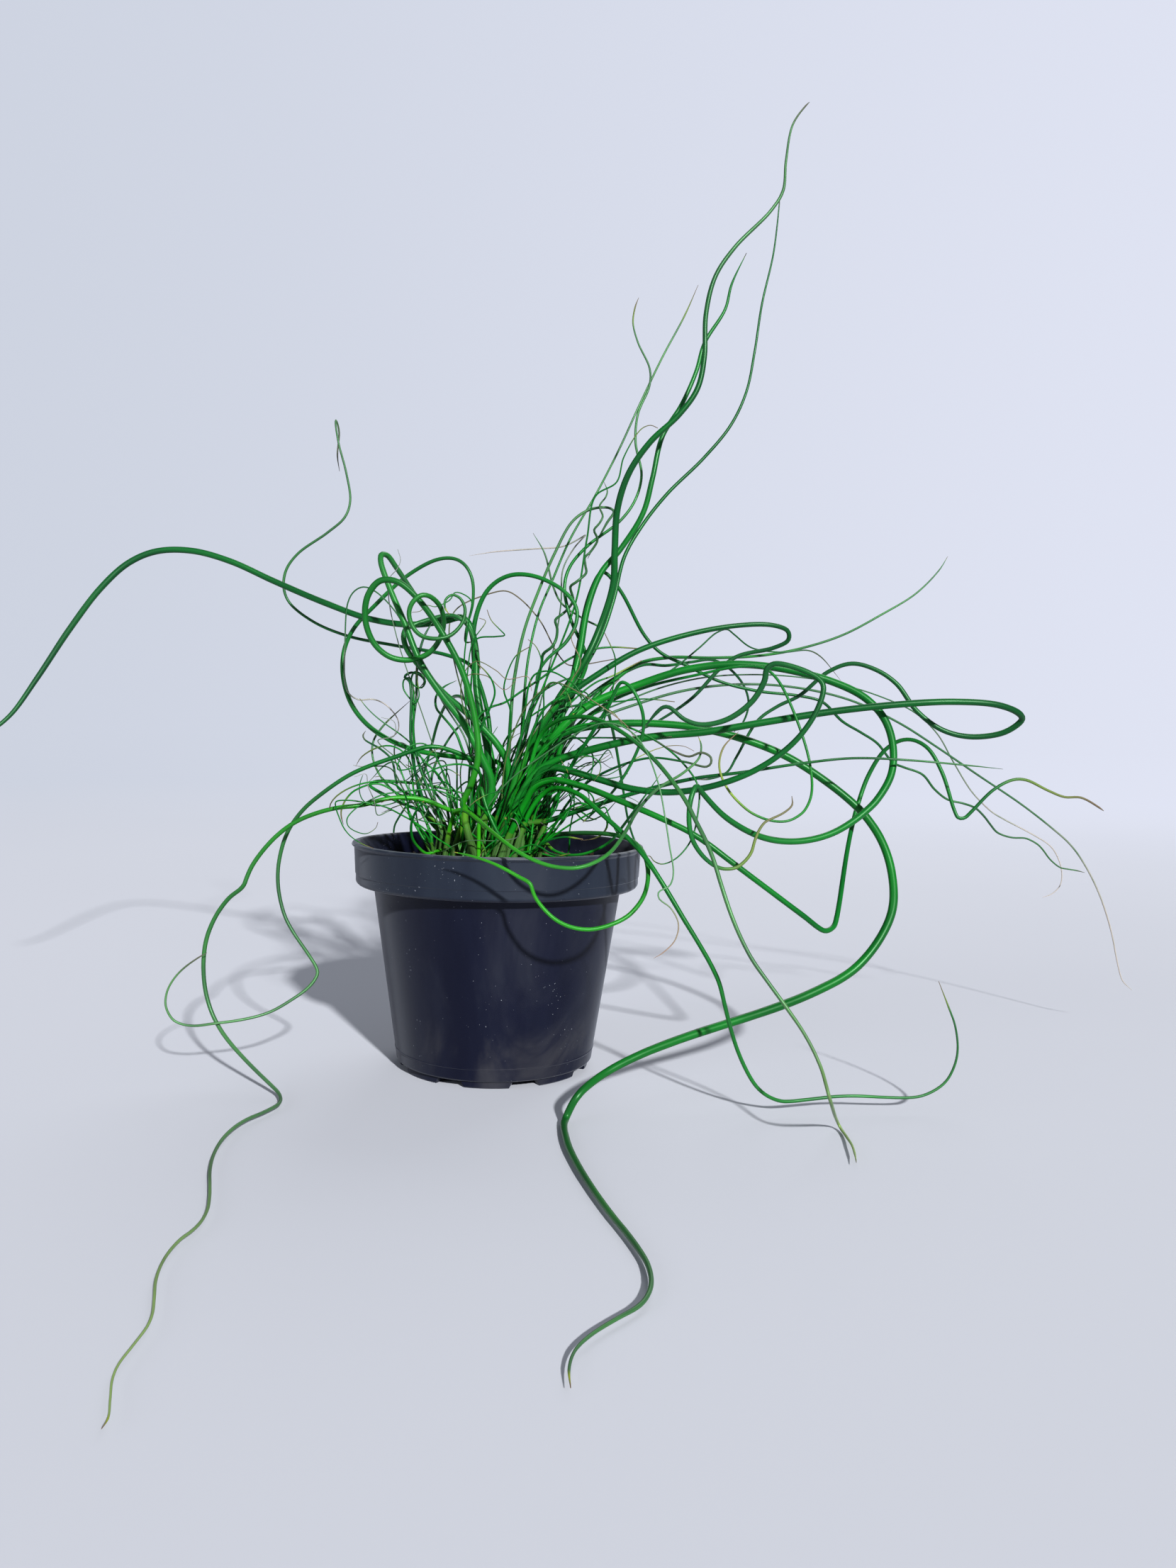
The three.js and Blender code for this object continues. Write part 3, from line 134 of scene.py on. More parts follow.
def ease(tree, value, low, high, start=0.0, end=1.0):
    """A value between low and high, eased to run from start to end."""
    inputs = {"Value": value, "From Min": low, "From Max": high, "To Min": start, "To Max": end}
    made = node(tree, "ShaderNodeMapRange", inputs, interpolation_type="SMOOTHSTEP")
    return made.outputs["Result"]


def mixed(tree, share, first, second, mode="MIX"):
    """Two colours mixed by a share."""
    inputs = {0: share, 6: first, 7: second}
    return node(tree, "ShaderNodeMix", inputs, data_type="RGBA", blend_type=mode).outputs[2]


def noise(tree, place, scale, detail=2.0, rough=0.5, warp=0.0):
    """Noise in 3-D."""
    inputs = {
        "Vector": place, "Scale": scale, "Detail": detail, "Roughness": rough, "Distortion": warp,
    }
    return node(tree, "ShaderNodeTexNoise", inputs).outputs[0]


def stretched(tree, place, scale, move=(0.0, 0.0, 0.0)):
    """Coordinates scaled by an amount for each axis."""
    inputs = {"Vector": place, "Location": move, "Scale": scale}
    return node(tree, "ShaderNodeMapping", inputs).outputs[0]


def attribute(tree, name, output="Fac"):
    """A mesh attribute by name."""
    return node(tree, "ShaderNodeAttribute", attribute_name=name).outputs[output]


def rgb(red, green, blue):
    """A colour with full alpha."""
    return (red, green, blue, 1.0)


def new_material(name):
    """An empty material with its output; returns the material and its tree."""
    material = bpy.data.materials.new(name)
    material.use_nodes = True
    material.node_tree.nodes.clear()
    return material, material.node_tree


def finish_material(tree, inputs, bump, strength, depth):
    """Ends a tree in a Principled shader with its bump."""
    raised = node(tree, "ShaderNodeBump", {"Height": bump, "Strength": strength, "Distance": depth})
    inputs["Normal"] = raised.outputs[0]
    shader = node(tree, "ShaderNodeBsdfPrincipled", inputs)
    node(tree, "ShaderNodeOutputMaterial", {"Surface": shader.outputs[0]})


# ---- Stage and light ----

SKY_LEFT = rgb(0.60, 0.64, 0.735)
SKY_RIGHT = rgb(0.755, 0.785, 0.91)
AMBIENT = 0.22
FLOOR_NEAR = 0.25
FLOOR_FAR = 2.4
FLOOR_SIZE = 12
FLOOR_SIDES = 96
LAMPS_AIM = Vector((0, 0, 0.11))


def backdrop_colour(tree, place):
    """The backdrop's colour towards a place: a little lighter on the right."""
    toward = node(tree, "ShaderNodeVectorMath", {0: place}, operation="NORMALIZE").outputs[0]
    side = node(tree, "ShaderNodeSeparateXYZ", {0: toward}).outputs["X"]
    return mixed(tree, ease(tree, side, -0.7, 0.7), SKY_LEFT, SKY_RIGHT)


def floor_material():
    """A pale matte floor that turns into the backdrop's colour far away."""
    material, tree = new_material("floor")
    place = node(tree, "ShaderNodeTexCoord").outputs["Object"]
    reach = node(tree, "ShaderNodeVectorMath", {0: place}, operation="LENGTH").outputs["Value"]
    cloud = noise(tree, place, 1.6, 3.0)
    colour = mixed(tree, cloud, rgb(0.46, 0.48, 0.54), rgb(0.49, 0.51, 0.57))
    near = node(tree, "ShaderNodeBsdfPrincipled", {"Base Color": colour, "Roughness": 0.85})
    near.inputs["Specular IOR Level"].default_value = 0.1
    far = node(tree, "ShaderNodeEmission", {"Color": backdrop_colour(tree, place), "Strength": 1.0})
    share = ease(tree, reach, FLOOR_NEAR, FLOOR_FAR)
    both = node(tree, "ShaderNodeMixShader", {0: share, 1: near.outputs[0], 2: far.outputs[0]})
    node(tree, "ShaderNodeOutputMaterial", {"Surface": both.outputs[0]})
    return material


def add_floor():
    """A wide round floor at the pot's base."""
    shape = bmesh.new()
    bmesh.ops.create_circle(shape, cap_ends=True, radius=FLOOR_SIZE, segments=FLOOR_SIDES)
    mesh = bpy.data.meshes.new("floor")
    shape.to_mesh(mesh)
    shape.free()
    mesh.materials.append(floor_material())
    floor = bpy.data.objects.new("floor", mesh)
    bpy.context.collection.objects.link(floor)


def add_world():
    """An even pale backdrop, with a dimmer light from all round."""
    world = bpy.data.worlds.new("backdrop")
    world.use_nodes = True
    tree = world.node_tree
    tree.nodes.clear()
    seen = node(tree, "ShaderNodeLightPath").outputs["Is Camera Ray"]
    strength = node(tree, "ShaderNodeMapRange", {"Value": seen, "To Min": AMBIENT}).outputs["Result"]
    place = node(tree, "ShaderNodeTexCoord").outputs["Generated"]
    inputs = {"Color": backdrop_colour(tree, place), "Strength": strength}
    background = node(tree, "ShaderNodeBackground", inputs)
    node(tree, "ShaderNodeOutputWorld", {"Surface": background.outputs[0]})
    bpy.context.scene.world = world


def add_lamp(name, kind, place, power, colour, **settings):
    """A lamp that points at the middle of the rush."""
    data = bpy.data.lights.new(name, kind)
    data.energy = power
    data.color = colour
    for key, value in settings.items():
        setattr(data, key, value)
    lamp = bpy.data.objects.new(name, data)
    bpy.context.collection.objects.link(lamp)
    lamp.visible_camera = False
    lamp.location = place
    lamp.rotation_mode = "QUATERNION"
    lamp.rotation_quaternion = (LAMPS_AIM - Vector(place)).to_track_quat("-Z", "Y")


def add_lamps():
    """A far key from the upper right in front, a weak fill from the left and a rim from behind."""
    add_lamp("key", "SUN", (1.14, -2.81, 1.65), 6.4, (1.0, 0.985, 0.96), angle=math.radians(2.6))
    add_lamp("fill", "AREA", (-2.4, -1.9, 1.3), 22, (0.93, 0.96, 1.0), shape="SQUARE", size=1.6)
    add_lamp("rim", "AREA", (0.9, 2.7, 2.6), 50, (1.0, 1.0, 1.0), shape="SQUARE", size=2.6)


# ---- Finishes ----

# Colours of a stem: at its root, young, grown, old, and then drying and dry.
GREENS = {
    "stem_bright": (
        rgb(0.06, 0.19, 0.010), rgb(0.026, 0.23, 0.005), rgb(0.0014, 0.086, 0.009),
        rgb(0.0030, 0.066, 0.010), rgb(0.20, 0.25, 0.02), rgb(0.13, 0.075, 0.042)),
    "stem_mid": (
        rgb(0.04, 0.15, 0.010), rgb(0.003, 0.140, 0.008), rgb(0.0006, 0.086, 0.010),
        rgb(0.0060, 0.080, 0.018), rgb(0.10, 0.15, 0.03), rgb(0.11, 0.075, 0.05)),
    "stem_deep": (
        rgb(0.03, 0.12, 0.010), rgb(0.002, 0.092, 0.008), rgb(0.0005, 0.054, 0.010),
        rgb(0.0060, 0.052, 0.018), rgb(0.05, 0.07, 0.04), rgb(0.07, 0.06, 0.05)),
    "stem_pale": (
        rgb(0.05, 0.16, 0.010), rgb(0.006, 0.15, 0.010), rgb(0.003, 0.10, 0.014),
        rgb(0.014, 0.125, 0.018), rgb(0.16, 0.25, 0.03), rgb(0.14, 0.09, 0.055)),
    "stem_dry": (
        rgb(0.04, 0.09, 0.015), rgb(0.03, 0.09, 0.02), rgb(0.05, 0.07, 0.03),
        rgb(0.09, 0.07, 0.045), rgb(0.10, 0.08, 0.05), rgb(0.085, 0.06, 0.048)),
}
DULL_GREEN = rgb(0.045, 0.108, 0.050)
FADED_GREEN = rgb(0.20, 0.27, 0.10)
WAX = rgb(0.52, 1.0, 0.60)
SHEATH_DARK = rgb(0.020, 0.050, 0.012)
SHEATH_LIGHT = rgb(0.056, 0.135, 0.034)
GROOVES = (5200, 5200, 60)
PATCHES = (250, 250, 34)
THREAD_PATCHES = (300, 300, 90)


def stem_material(slot):
    """A rush stem: fine grooves, patches of lighter and darker green, a waxy gloss, a drying tip."""
    root, young, grown, old, drying, dried = GREENS[slot]
    material, tree = new_material(slot)
    laid = attribute(tree, "laid", "Vector")
    age = attribute(tree, "age")
    dull = attribute(tree, "dull")
    dry = attribute(tree, "dry")
    sheath = attribute(tree, "sheath")
    groove = noise(tree, stretched(tree, laid, GROOVES), 1.0, 2.0, 0.6)
    patch = noise(tree, stretched(tree, laid, PATCHES), 1.0, 3.0, 0.55)
    colour = mixed(tree, ease(tree, age, 0.0, 0.07), root, young)
    colour = mixed(tree, ease(tree, age, 0.08, 0.42), colour, grown)
    colour = mixed(tree, ease(tree, age, 0.5, 1.0), colour, old)
    colour = mixed(tree, ease(tree, dull, 0.0, 1.0), colour, DULL_GREEN)
    colour = mixed(tree, ease(tree, dull, 1.0, 2.0), colour, FADED_GREEN)
    light = mixed(tree, 0.5, colour, rgb(0.75, 1.0, 0.55), "SOFT_LIGHT")
    dark = mixed(tree, 0.32, colour, rgb(0.25, 0.35, 0.45), "MULTIPLY")
    colour = mixed(tree, ease(tree, patch, 0.32, 0.70), dark, light)
    colour = mixed(tree, ease(tree, groove, 0.55, 0.72, 0.0, 0.3), colour, dark)
    worn = total(tree, dry, times(tree, calc(tree, "SUBTRACT", patch, 0.5), 0.5))
    colour = mixed(tree, ease(tree, worn, 0.18, 0.55), colour, drying)
    colour = mixed(tree, ease(tree, worn, 0.5, 0.95), colour, dried)
    husk = mixed(tree, ease(tree, groove, 0.35, 0.65), SHEATH_DARK, SHEATH_LIGHT)
    colour = mixed(tree, ease(tree, sheath, 0.2, 0.9, 0.0, 0.85), colour, husk)
    gloss = ease(tree, groove, 0.3, 0.7, 0.33, 0.43)
    gloss = total(tree, gloss, times(tree, calc(tree, "MAXIMUM", worn, sheath), 0.25))
    shape = total(tree, groove, times(tree, patch, 0.6))
    inputs = {
        "Base Color": colour, "Roughness": gloss, "Specular IOR Level": 0.33, "Specular Tint": WAX,
    }
    finish_material(tree, inputs, shape, 0.10, 0.12 * MM)
    return material


# Colours of a thread: fresh at its root, and old at its tip.
THREAD_FINISHES = {
    "thread_grey": (rgb(0.035, 0.10, 0.035), rgb(0.22, 0.24, 0.22)),
    "thread_brown": (rgb(0.05, 0.09, 0.02), rgb(0.17, 0.12, 0.07)),
    "thread_light": (rgb(0.045, 0.17, 0.055), rgb(0.20, 0.13, 0.09)),
    "thread_straw": (rgb(0.006, 0.085, 0.018), rgb(0.34, 0.31, 0.28)),
}


def thread_material(name, fresh, old):
    """A fine thread: fresh colour at its root and old at its tip."""
    material, tree = new_material(name)
    laid = attribute(tree, "laid", "Vector")
    dry = attribute(tree, "dry")
    patch = noise(tree, stretched(tree, laid, THREAD_PATCHES), 1.0, 3.0, 0.6)
    worn = total(tree, dry, times(tree, calc(tree, "SUBTRACT", patch, 0.5), 0.7))
    colour = mixed(tree, ease(tree, worn, 0.2, 0.9), fresh, old)
    share = ease(tree, patch, 0.5, 0.75, 0.0, 0.5)
    colour = mixed(tree, share, colour, rgb(0.5, 0.5, 0.45), "MULTIPLY")
    inputs = {"Base Color": colour, "Roughness": ease(tree, patch, 0.3, 0.7, 0.4, 0.6)}
    finish_material(tree, inputs, patch, 0.3, 0.08 * MM)
    return material


PLASTIC = (rgb(0.0014, 0.0022, 0.0100), rgb(0.0028, 0.0042, 0.0145))
PLASTIC_GRAIN = 2600.0
BAND_PALER = rgb(0.0130, 0.0185, 0.0300)
BAND_PALER_HEIGHTS = (0.0650, 0.0665)
BAND_PALER_RADII = (0.0504, 0.0508)
SMEARED = rgb(0.03, 0.034, 0.045)
DUSTY = rgb(0.26, 0.28, 0.32)
RIM_PAINTED_HIGHLIGHT = rgb(0.13, 0.14, 0.155)
RIM_HIGHLIGHT_HEIGHTS = (0.0795, 0.0806)
SPLASHED = rgb(0.06, 0.058, 0.058)
SPLASHED_HEIGHTS = (0.026, 0.012)


def pot_material():
    """Moulded dark plastic: satin, with a fine grain, dust, a paler band, a painted highlight along
    the rim's top edge and dried splashes low down.
    """
    material, tree = new_material("pot_plastic")
    place = node(tree, "ShaderNodeTexCoord").outputs["Object"]
    grain = noise(tree, place, PLASTIC_GRAIN, 2.0, 0.6)
    flow = noise(tree, stretched(tree, place, (60, 60, 9)), 1.0, 4.0, 0.6)
    smear = noise(tree, stretched(tree, place, (26, 26, 16)), 1.0, 5.0, 0.62, 0.6)
    speck = noise(tree, stretched(tree, place, (1900, 1900, 1500)), 1.0, 1.0, 0.4)
    crowd = noise(tree, stretched(tree, place, (58, 58, 44), (0.3, 0.1, 0.7)), 1.0, 2.0, 0.5)
    axes = node(tree, "ShaderNodeSeparateXYZ", {0: place}).outputs
    height = axes["Z"]
    across = times(tree, axes["X"], axes["X"])
    radius = calc(tree, "SQRT", total(tree, across, times(tree, axes["Y"], axes["Y"])))
    colour = mixed(tree, ease(tree, flow, 0.3, 0.7), *PLASTIC)
    # The band's outside is given a paler, greyer colour than the body, unevenly by the flow noise.
    band = ease(tree, height, *BAND_PALER_HEIGHTS)
    band = times(tree, band, ease(tree, radius, *BAND_PALER_RADII))
    band_paler_share = times(tree, band, ease(tree, flow, 0.25, 0.75, 0.5, 0.9))
    colour = mixed(tree, band_paler_share, colour, BAND_PALER)
    colour = mixed(tree, ease(tree, smear, 0.48, 0.78, 0.0, 0.3), colour, SMEARED)
    near = ease(tree, crowd, 0.54, 0.74, 0.0, 0.08)
    dust = ease(tree, total(tree, speck, near), 0.79, 0.835)
    colour = mixed(tree, times(tree, dust, 0.6), colour, DUSTY)
    # Painted highlight: a pale line along the rim's top edge, made uneven by the flow noise.
    edge = ease(tree, height, *RIM_HIGHLIGHT_HEIGHTS)
    edge = times(tree, edge, ease(tree, flow, 0.42, 0.66, 0.0, 0.5))
    colour = mixed(tree, edge, colour, RIM_PAINTED_HIGHLIGHT)
    low = ease(tree, height, *SPLASHED_HEIGHTS)
    low = times(tree, low, ease(tree, smear, 0.5, 0.7, 0.0, 0.25))
    colour = mixed(tree, low, colour, SPLASHED)
    gloss = ease(tree, flow, 0.3, 0.7, 0.40, 0.50)
    gloss = total(tree, gloss, ease(tree, smear, 0.45, 0.8, 0.0, 0.16))
    gloss = total(tree, gloss, times(tree, dust, 0.3))
    shape = total(tree, grain, times(tree, dust, 1.4))
    inputs = {
        "Base Color": colour, "Roughness": gloss, "Specular IOR Level": 0.13,
        "Sheen Weight": 0.20, "Sheen Roughness": 0.4, "Sheen Tint": rgb(0.60, 0.66, 0.78),
    }
    finish_material(tree, inputs, shape, 0.3, 0.05 * MM)
    return material


# Dark, light and fleck colours, and how fine the grain is.
PEATS = {
    "peat": (rgb(0.010, 0.007, 0.005), rgb(0.040, 0.026, 0.017), rgb(0.10, 0.07, 0.045), 700.0),
    "bark": (rgb(0.022, 0.013, 0.008), rgb(0.085, 0.052, 0.030), rgb(0.16, 0.11, 0.07), 900.0),
    "perlite": (rgb(0.40, 0.40, 0.38), rgb(0.62, 0.62, 0.60), rgb(0.25, 0.24, 0.22), 900.0),
}


def peat_material(name, dark, light, fleck, fine):
    """Damp crumbly peat, bark or perlite."""
    material, tree = new_material(name)
    place = node(tree, "ShaderNodeTexCoord").outputs["Object"]
    broad = noise(tree, place, fine * 0.22, 3.0, 0.6)
    close = noise(tree, place, fine, 3.0, 0.65)
    colour = mixed(tree, ease(tree, broad, 0.35, 0.68), dark, light)
    colour = mixed(tree, ease(tree, close, 0.60, 0.78, 0.0, 0.6), colour, fleck)
    gloss = ease(tree, close, 0.3, 0.7, 0.65, 0.95)
    inputs = {"Base Color": colour, "Roughness": gloss, "Specular IOR Level": 0.3}
    finish_material(tree, inputs, close, 0.8, 0.3 * MM)
    return material


# ---- Tubes that follow a line ----

def shape_tree(name, kinds, result):
    """A geometry tree with its named inputs, by kind, and its result; returns it and its inputs."""
    tree = bpy.data.node_groups.new(name, "GeometryNodeTree")
    for key, kind in kinds.items():
        tree.interface.new_socket(key, in_out="INPUT", socket_type="NodeSocket" + kind)
    tree.interface.new_socket(result, in_out="OUTPUT", socket_type="NodeSocketGeometry")
    return tree, node(tree, "NodeGroupInput").outputs


def finish_shape(tree, mesh, material, result):
    """Ends a geometry tree in real faces with their material."""
    mesh = node(tree, "GeometryNodeRealizeInstances", {0: mesh}).outputs[0]
    inputs = {"Geometry": mesh, "Material": material}
    mesh = node(tree, "GeometryNodeSetMaterial", inputs).outputs[0]
    node(tree, "NodeGroupOutput", {result: mesh})


SWELL_SCALE = 90.0
TUBE_INPUTS = {
    "Line": "Geometry", "Sides": "Int", "Unevenness": "Float", "Seed": "Float", "Finish": "Material",
}


def tube_tree():
    """Turns a line of points into a round tube."""
    tree, given = shape_tree("tube_along_line", TUBE_INPUTS, "Tube")
    width = node(tree, "GeometryNodeInputNamedAttribute", {"Name": "width"}, data_type="FLOAT")
    curve = node(tree, "GeometryNodeMeshToCurve", {"Mesh": given["Line"]}).outputs[0]
    curve = node(tree, "GeometryNodeSetCurveNormal", {"Curve": curve}).outputs[0]
    spline = node(tree, "GeometryNodeSplineParameter").outputs
    held = node(tree, "GeometryNodeCaptureAttribute", {0: curve}, domain="POINT")
    held.capture_items.new("FLOAT", "run")
    tree.links.new(spline["Length"], held.inputs[1])
    run = held.outputs[1]
    sway = node(tree, "ShaderNodeCombineXYZ", {0: given["Seed"], 1: 0.0, 2: run}).outputs[0]
    inputs = {"Vector": sway, "Scale": SWELL_SCALE, "Detail": 2.0}
    swell = node(tree, "ShaderNodeTexNoise", inputs).outputs[0]
    swell = times(tree, calc(tree, "SUBTRACT", swell, 0.5), given["Unevenness"])
    radius = times(tree, width.outputs[0], total(tree, swell, 1.0))
    inputs = {"Resolution": given["Sides"], "Radius": 1.0}
    ring = node(tree, "GeometryNodeCurvePrimitiveCircle", inputs)
    turn = node(tree, "GeometryNodeCaptureAttribute", {0: ring.outputs[0]}, domain="POINT")
    turn.capture_items.new("FLOAT", "round")
    tree.links.new(spline["Factor"], turn.inputs[1])
    inputs = {
        "Curve": held.outputs[0], "Profile Curve": turn.outputs[0], "Scale": radius,
        "Fill Caps": True,
    }
    mesh = node(tree, "GeometryNodeCurveToMesh", inputs).outputs[0]
    angle = times(tree, turn.outputs[1], TAU)
    flat = {
        0: times(tree, calc(tree, "COSINE", angle), radius),
        1: times(tree, calc(tree, "SINE", angle), radius),
        2: total(tree, run, given["Seed"]),
    }
    laid = node(tree, "ShaderNodeCombineXYZ", flat).outputs[0]
    inputs = {"Geometry": mesh, "Name": "laid", "Value": laid}
    held = node(tree, "GeometryNodeStoreNamedAttribute", inputs, data_type="FLOAT_VECTOR")
    mesh = node(tree, "GeometryNodeSetShadeSmooth", {0: held.outputs[0]}).outputs[0]
    finish_shape(tree, mesh, given["Finish"], "Tube")
    return tree


def set_inputs(modifier, **values):
    """Sets a tree's named inputs by their identifiers."""
    for item in modifier.node_group.interface.items_tree:
        if item.in_out == "INPUT" and item.name in values:
            modifier[item.identifier] = values[item.name]


def settled(piece):
    """Turns the evaluated shape into the piece's plain mesh and removes its modifiers."""
    bpy.context.view_layer.update()
    graph = bpy.context.evaluated_depsgraph_get()
    shape = piece.evaluated_get(graph)
    mesh = bpy.data.meshes.new_from_object(shape, preserve_all_data_layers=True, depsgraph=graph)
    piece.modifiers.clear()
    piece.data = mesh
    mesh.name = piece.name
    return piece


LINE_FACTS = ("width", "age", "dry", "sheath", "dull")


def line_object(name, lines):
    """A mesh of open lines; each point of a line holds its place and its facts."""
    places = []
    edges = []
    facts = {key: [] for key in LINE_FACTS}
    for line in lines:
        start = len(places)
        for step, (place, values) in enumerate(line):
            places.append(place)
            for key in LINE_FACTS:
                facts[key].append(values.get(key, 0.0))
            if step:
                edges.append((start + step - 1, start + step))
    mesh = bpy.data.meshes.new(name)
    mesh.from_pydata(places, edges, [])
    for key in LINE_FACTS:
        mesh.attributes.new(key, "FLOAT", "POINT").data.foreach_set("value", facts[key])
    made = bpy.data.objects.new(name, mesh)
    bpy.context.collection.objects.link(made)
    return made


def tubes(name, lines, sides, finish, unevenness, seed):
    """A piece made of round tubes along the lines."""
    piece = line_object(name, lines)
    modifier = piece.modifiers.new("tube", "NODES")
    modifier.node_group = TUBE
    set_inputs(modifier, Sides=sides, Unevenness=unevenness, Seed=seed, Finish=finish)
    return settled(piece)


# ---- Smooth lines ----

def glide(before, here, after, beyond, share):
    """A point between here and after on a centripetal curve through four points."""
    knots = [0.0]
    for one, two in ((before, here), (here, after), (after, beyond)):
        knots.append(knots[-1] + max((two - one).length, 1e-7) ** 0.5)
    at = knots[1] + (knots[2] - knots[1]) * share

    def between(one, two, low, high):
        return one.lerp(two, (at - low) / (high - low))

    first = between(before, here, knots[0], knots[1])
    middle = between(here, after, knots[1], knots[2])
    last = between(after, beyond, knots[2], knots[3])
    left = between(first, middle, knots[0], knots[2])
    right = between(middle, last, knots[1], knots[3])
    return between(left, right, knots[1], knots[2])


def smooth_line(points, radii, step):
    """Evenly spaced places and radii on a smooth curve through the points."""
    ends = [points[0] * 2 - points[1], *points, points[-1] * 2 - points[-2]]
    places = []
    widths = []
    for i in range(len(points) - 1):
        gap = (points[i + 1] - points[i]).length
        count = max(1, math.ceil(gap / step))
        for k in range(count):
            share = k / count
            places.append(glide(*ends[i:i + 4], share))
            widths.append(radii[i] + (radii[i + 1] - radii[i]) * share)
    places.append(points[-1].copy())
    widths.append(radii[-1])
    return places, widths


def run_lengths(places):
    """How far along the line each place is."""
    runs = [0.0]
    for one, two in zip(places, places[1:]):
        runs.append(runs[-1] + (two - one).length)
    return runs


TAPER = 0.4
TAPER_FROM = 0.82
TAPER_RUN = 0.18


def facts_along(places, widths, dry_from, ages=(0.0, 1.0), dull=(0.0, 0.0)):
    """A line's places with their facts; it thins at its tip and dries from a share of its length."""
    runs = run_lengths(places)
    line = []
    for place, width, run in zip(places, widths, runs):
        along = run / runs[-1]
        line.append((place, {
            "width": width * (1 - TAPER * max(0.0, (along - TAPER_FROM) / TAPER_RUN) ** 2),
            "dry": max(0.0, (along - dry_from) / (1 - dry_from)),
            "age": ages[0] + (ages[1] - ages[0]) * along,
            "dull": max(0.0, dull[0] + (dull[1] - dull[0]) * along),
        }))
    return line


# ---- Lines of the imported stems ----

def merged(obj):
    """A joined copy of a node's loose triangles."""
    shape = bmesh.new()
    shape.from_mesh(obj.data)
    bmesh.ops.remove_doubles(shape, verts=shape.verts, dist=1e-6)
    shape.verts.index_update()
    return shape


TIP_EDGES = 4
RING_EDGES = 5


def tip_corners(shape):
    """The single corners in which stems end: all the neighbours of one have five edges."""
    found = []
    for corner in shape.verts:
        beside = [edge.other_vert(corner) for edge in corner.link_edges]
        if len(beside) <= TIP_EDGES and all(len(other.link_edges) == RING_EDGES for other in beside):
            found.append(corner)
    return found


def rings_from(tip):
    """Middle and radius of each ring of corners, from the tip to where the stem joins something."""
    sides = len(tip.link_edges)
    seen = {tip}
    layer = [tip]
    rings = [(tip.co.copy(), 0.0)]
    while True:
        beyond = {edge.other_vert(corner) for corner in layer for edge in corner.link_edges} - seen
        if len(beyond) != sides:
            return rings
        layer = sorted(beyond, key=lambda corner: corner.index)
        middle = sum((corner.co for corner in layer), Vector()) / sides
        radius = sum((corner.co - middle).length for corner in layer) / sides
        rings.append((middle, radius))
        seen |= beyond


def packed_lines(name):
    """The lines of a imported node's stems, each from its root to its tip."""
    shape = merged(NODES[name])
    lines = [list(reversed(rings_from(tip))) for tip in tip_corners(shape)]
    shape.free()
    return lines


# ---- Stems ----

STEP = 1.3 * MM
THIN = 0.55 * MM
THIN_SHARE = 0.95
SOIL_TOP = 73 * MM
TIP_GIRTH = 0.3
HUSK_FOOT = SOIL_TOP - 2 * MM
HUSK_WINDING = 1.3
HUSK_RISE = (13, 23)
HUSK_SWELL = (0.16, 0.32)
HUSK_SKIN = 0.04 * MM
STEM_SIDES = 10
THIN_SIDES = 7
STEM_UNEVEN = 0.10
SEED_RUN = 40


def girth_at(girths, share):
    """A stem's girth factor at a share of its length, from those at its root, middle and tip."""
    root, middle, tip = girths
    if share < 0.5:
        return root + (middle - root) * share * 2
    return middle + (tip - middle) * (share * 2 - 1)


def stem_line(rings, dry_from, ages, girths, dull=(0.0, 0.0)):
    """A stem's fine line from its packed rings; it dries from a share of its length onwards."""
    points = [place for place, _ in rings]
    radii = []
    for k, (_, radius) in enumerate(rings):
        thinned = radius * (THIN_SHARE if radius < THIN else 1.0)
        radii.append(thinned * girth_at(girths, k / (len(rings) - 1)))
    radii[-1] = radii[-2] * TIP_GIRTH
    places, widths = smooth_line(points, radii, STEP)
    return facts_along(places, widths, dry_from, ages, dull)


def sheath_line(line, rise, swell):
    """A husk round the foot of a stem, which thins out onto it."""
    made = []
    for place, values in line:
        if place.z < HUSK_FOOT:
            continue
        share = max(place.z - HUSK_FOOT, len(made) * STEP / HUSK_WINDING) / rise
        if share > 1:
            break
        width = values["width"] * (1 + swell * (1 - share ** 2.2)) + HUSK_SKIN
        made.append((place, {"width": width, "sheath": 1 - share ** 3}))
    return made


# Share of its length from which a stem dries, for those that end dry, and for the rest.
DRY_FROM = {
    "crook_right": 0.84, "ring_right_wide": 0.86, "thread_top_back": 0.45,
    "thread_dry_wanderer": 0.3, "thread_right_back": 0.55, "thread_front_hanging": 0.8,
    "upright_left_outer": 0.93, "hook_left_low": 0.9, "curl_right_yellow": 0.6,
    "loop_inside_rim": 0.97, "whip_low_left": 0.94, "trail_low_right": 0.95, "hook_left_grey": 0.6,
    "thread_left_arc": 0.8, "arch_back_left": 0.92, "whip_right_back": 0.62, "ring_right_thin": 0.8,
    "curl_right_high": 0.85, "tallest_front": 0.95, "upright_straight": 0.9, "upright_wavy": 0.93,
    "whip_upper_left": 0.9,
}
DRY_TIP = 0.985
# Age at root and tip, for the stems that stay light green or are dark all along.
AGES = {
    "loop_over_rim": (0.0, 0.5), "loop_before_pot": (0.5, 0.18), "trail_left": (0.16, 0.8),
    "loop_inside_rim": (0.0, 0.5), "sweep_right_to_front": (0.3, 1.0),
    "loop_left_front": (0.12, 0.92), "loop_left_back": (0.0, 0.85), "ring_left_inner": (0.0, 0.85),
    "ring_left_wide": (0.0, 0.85),
}
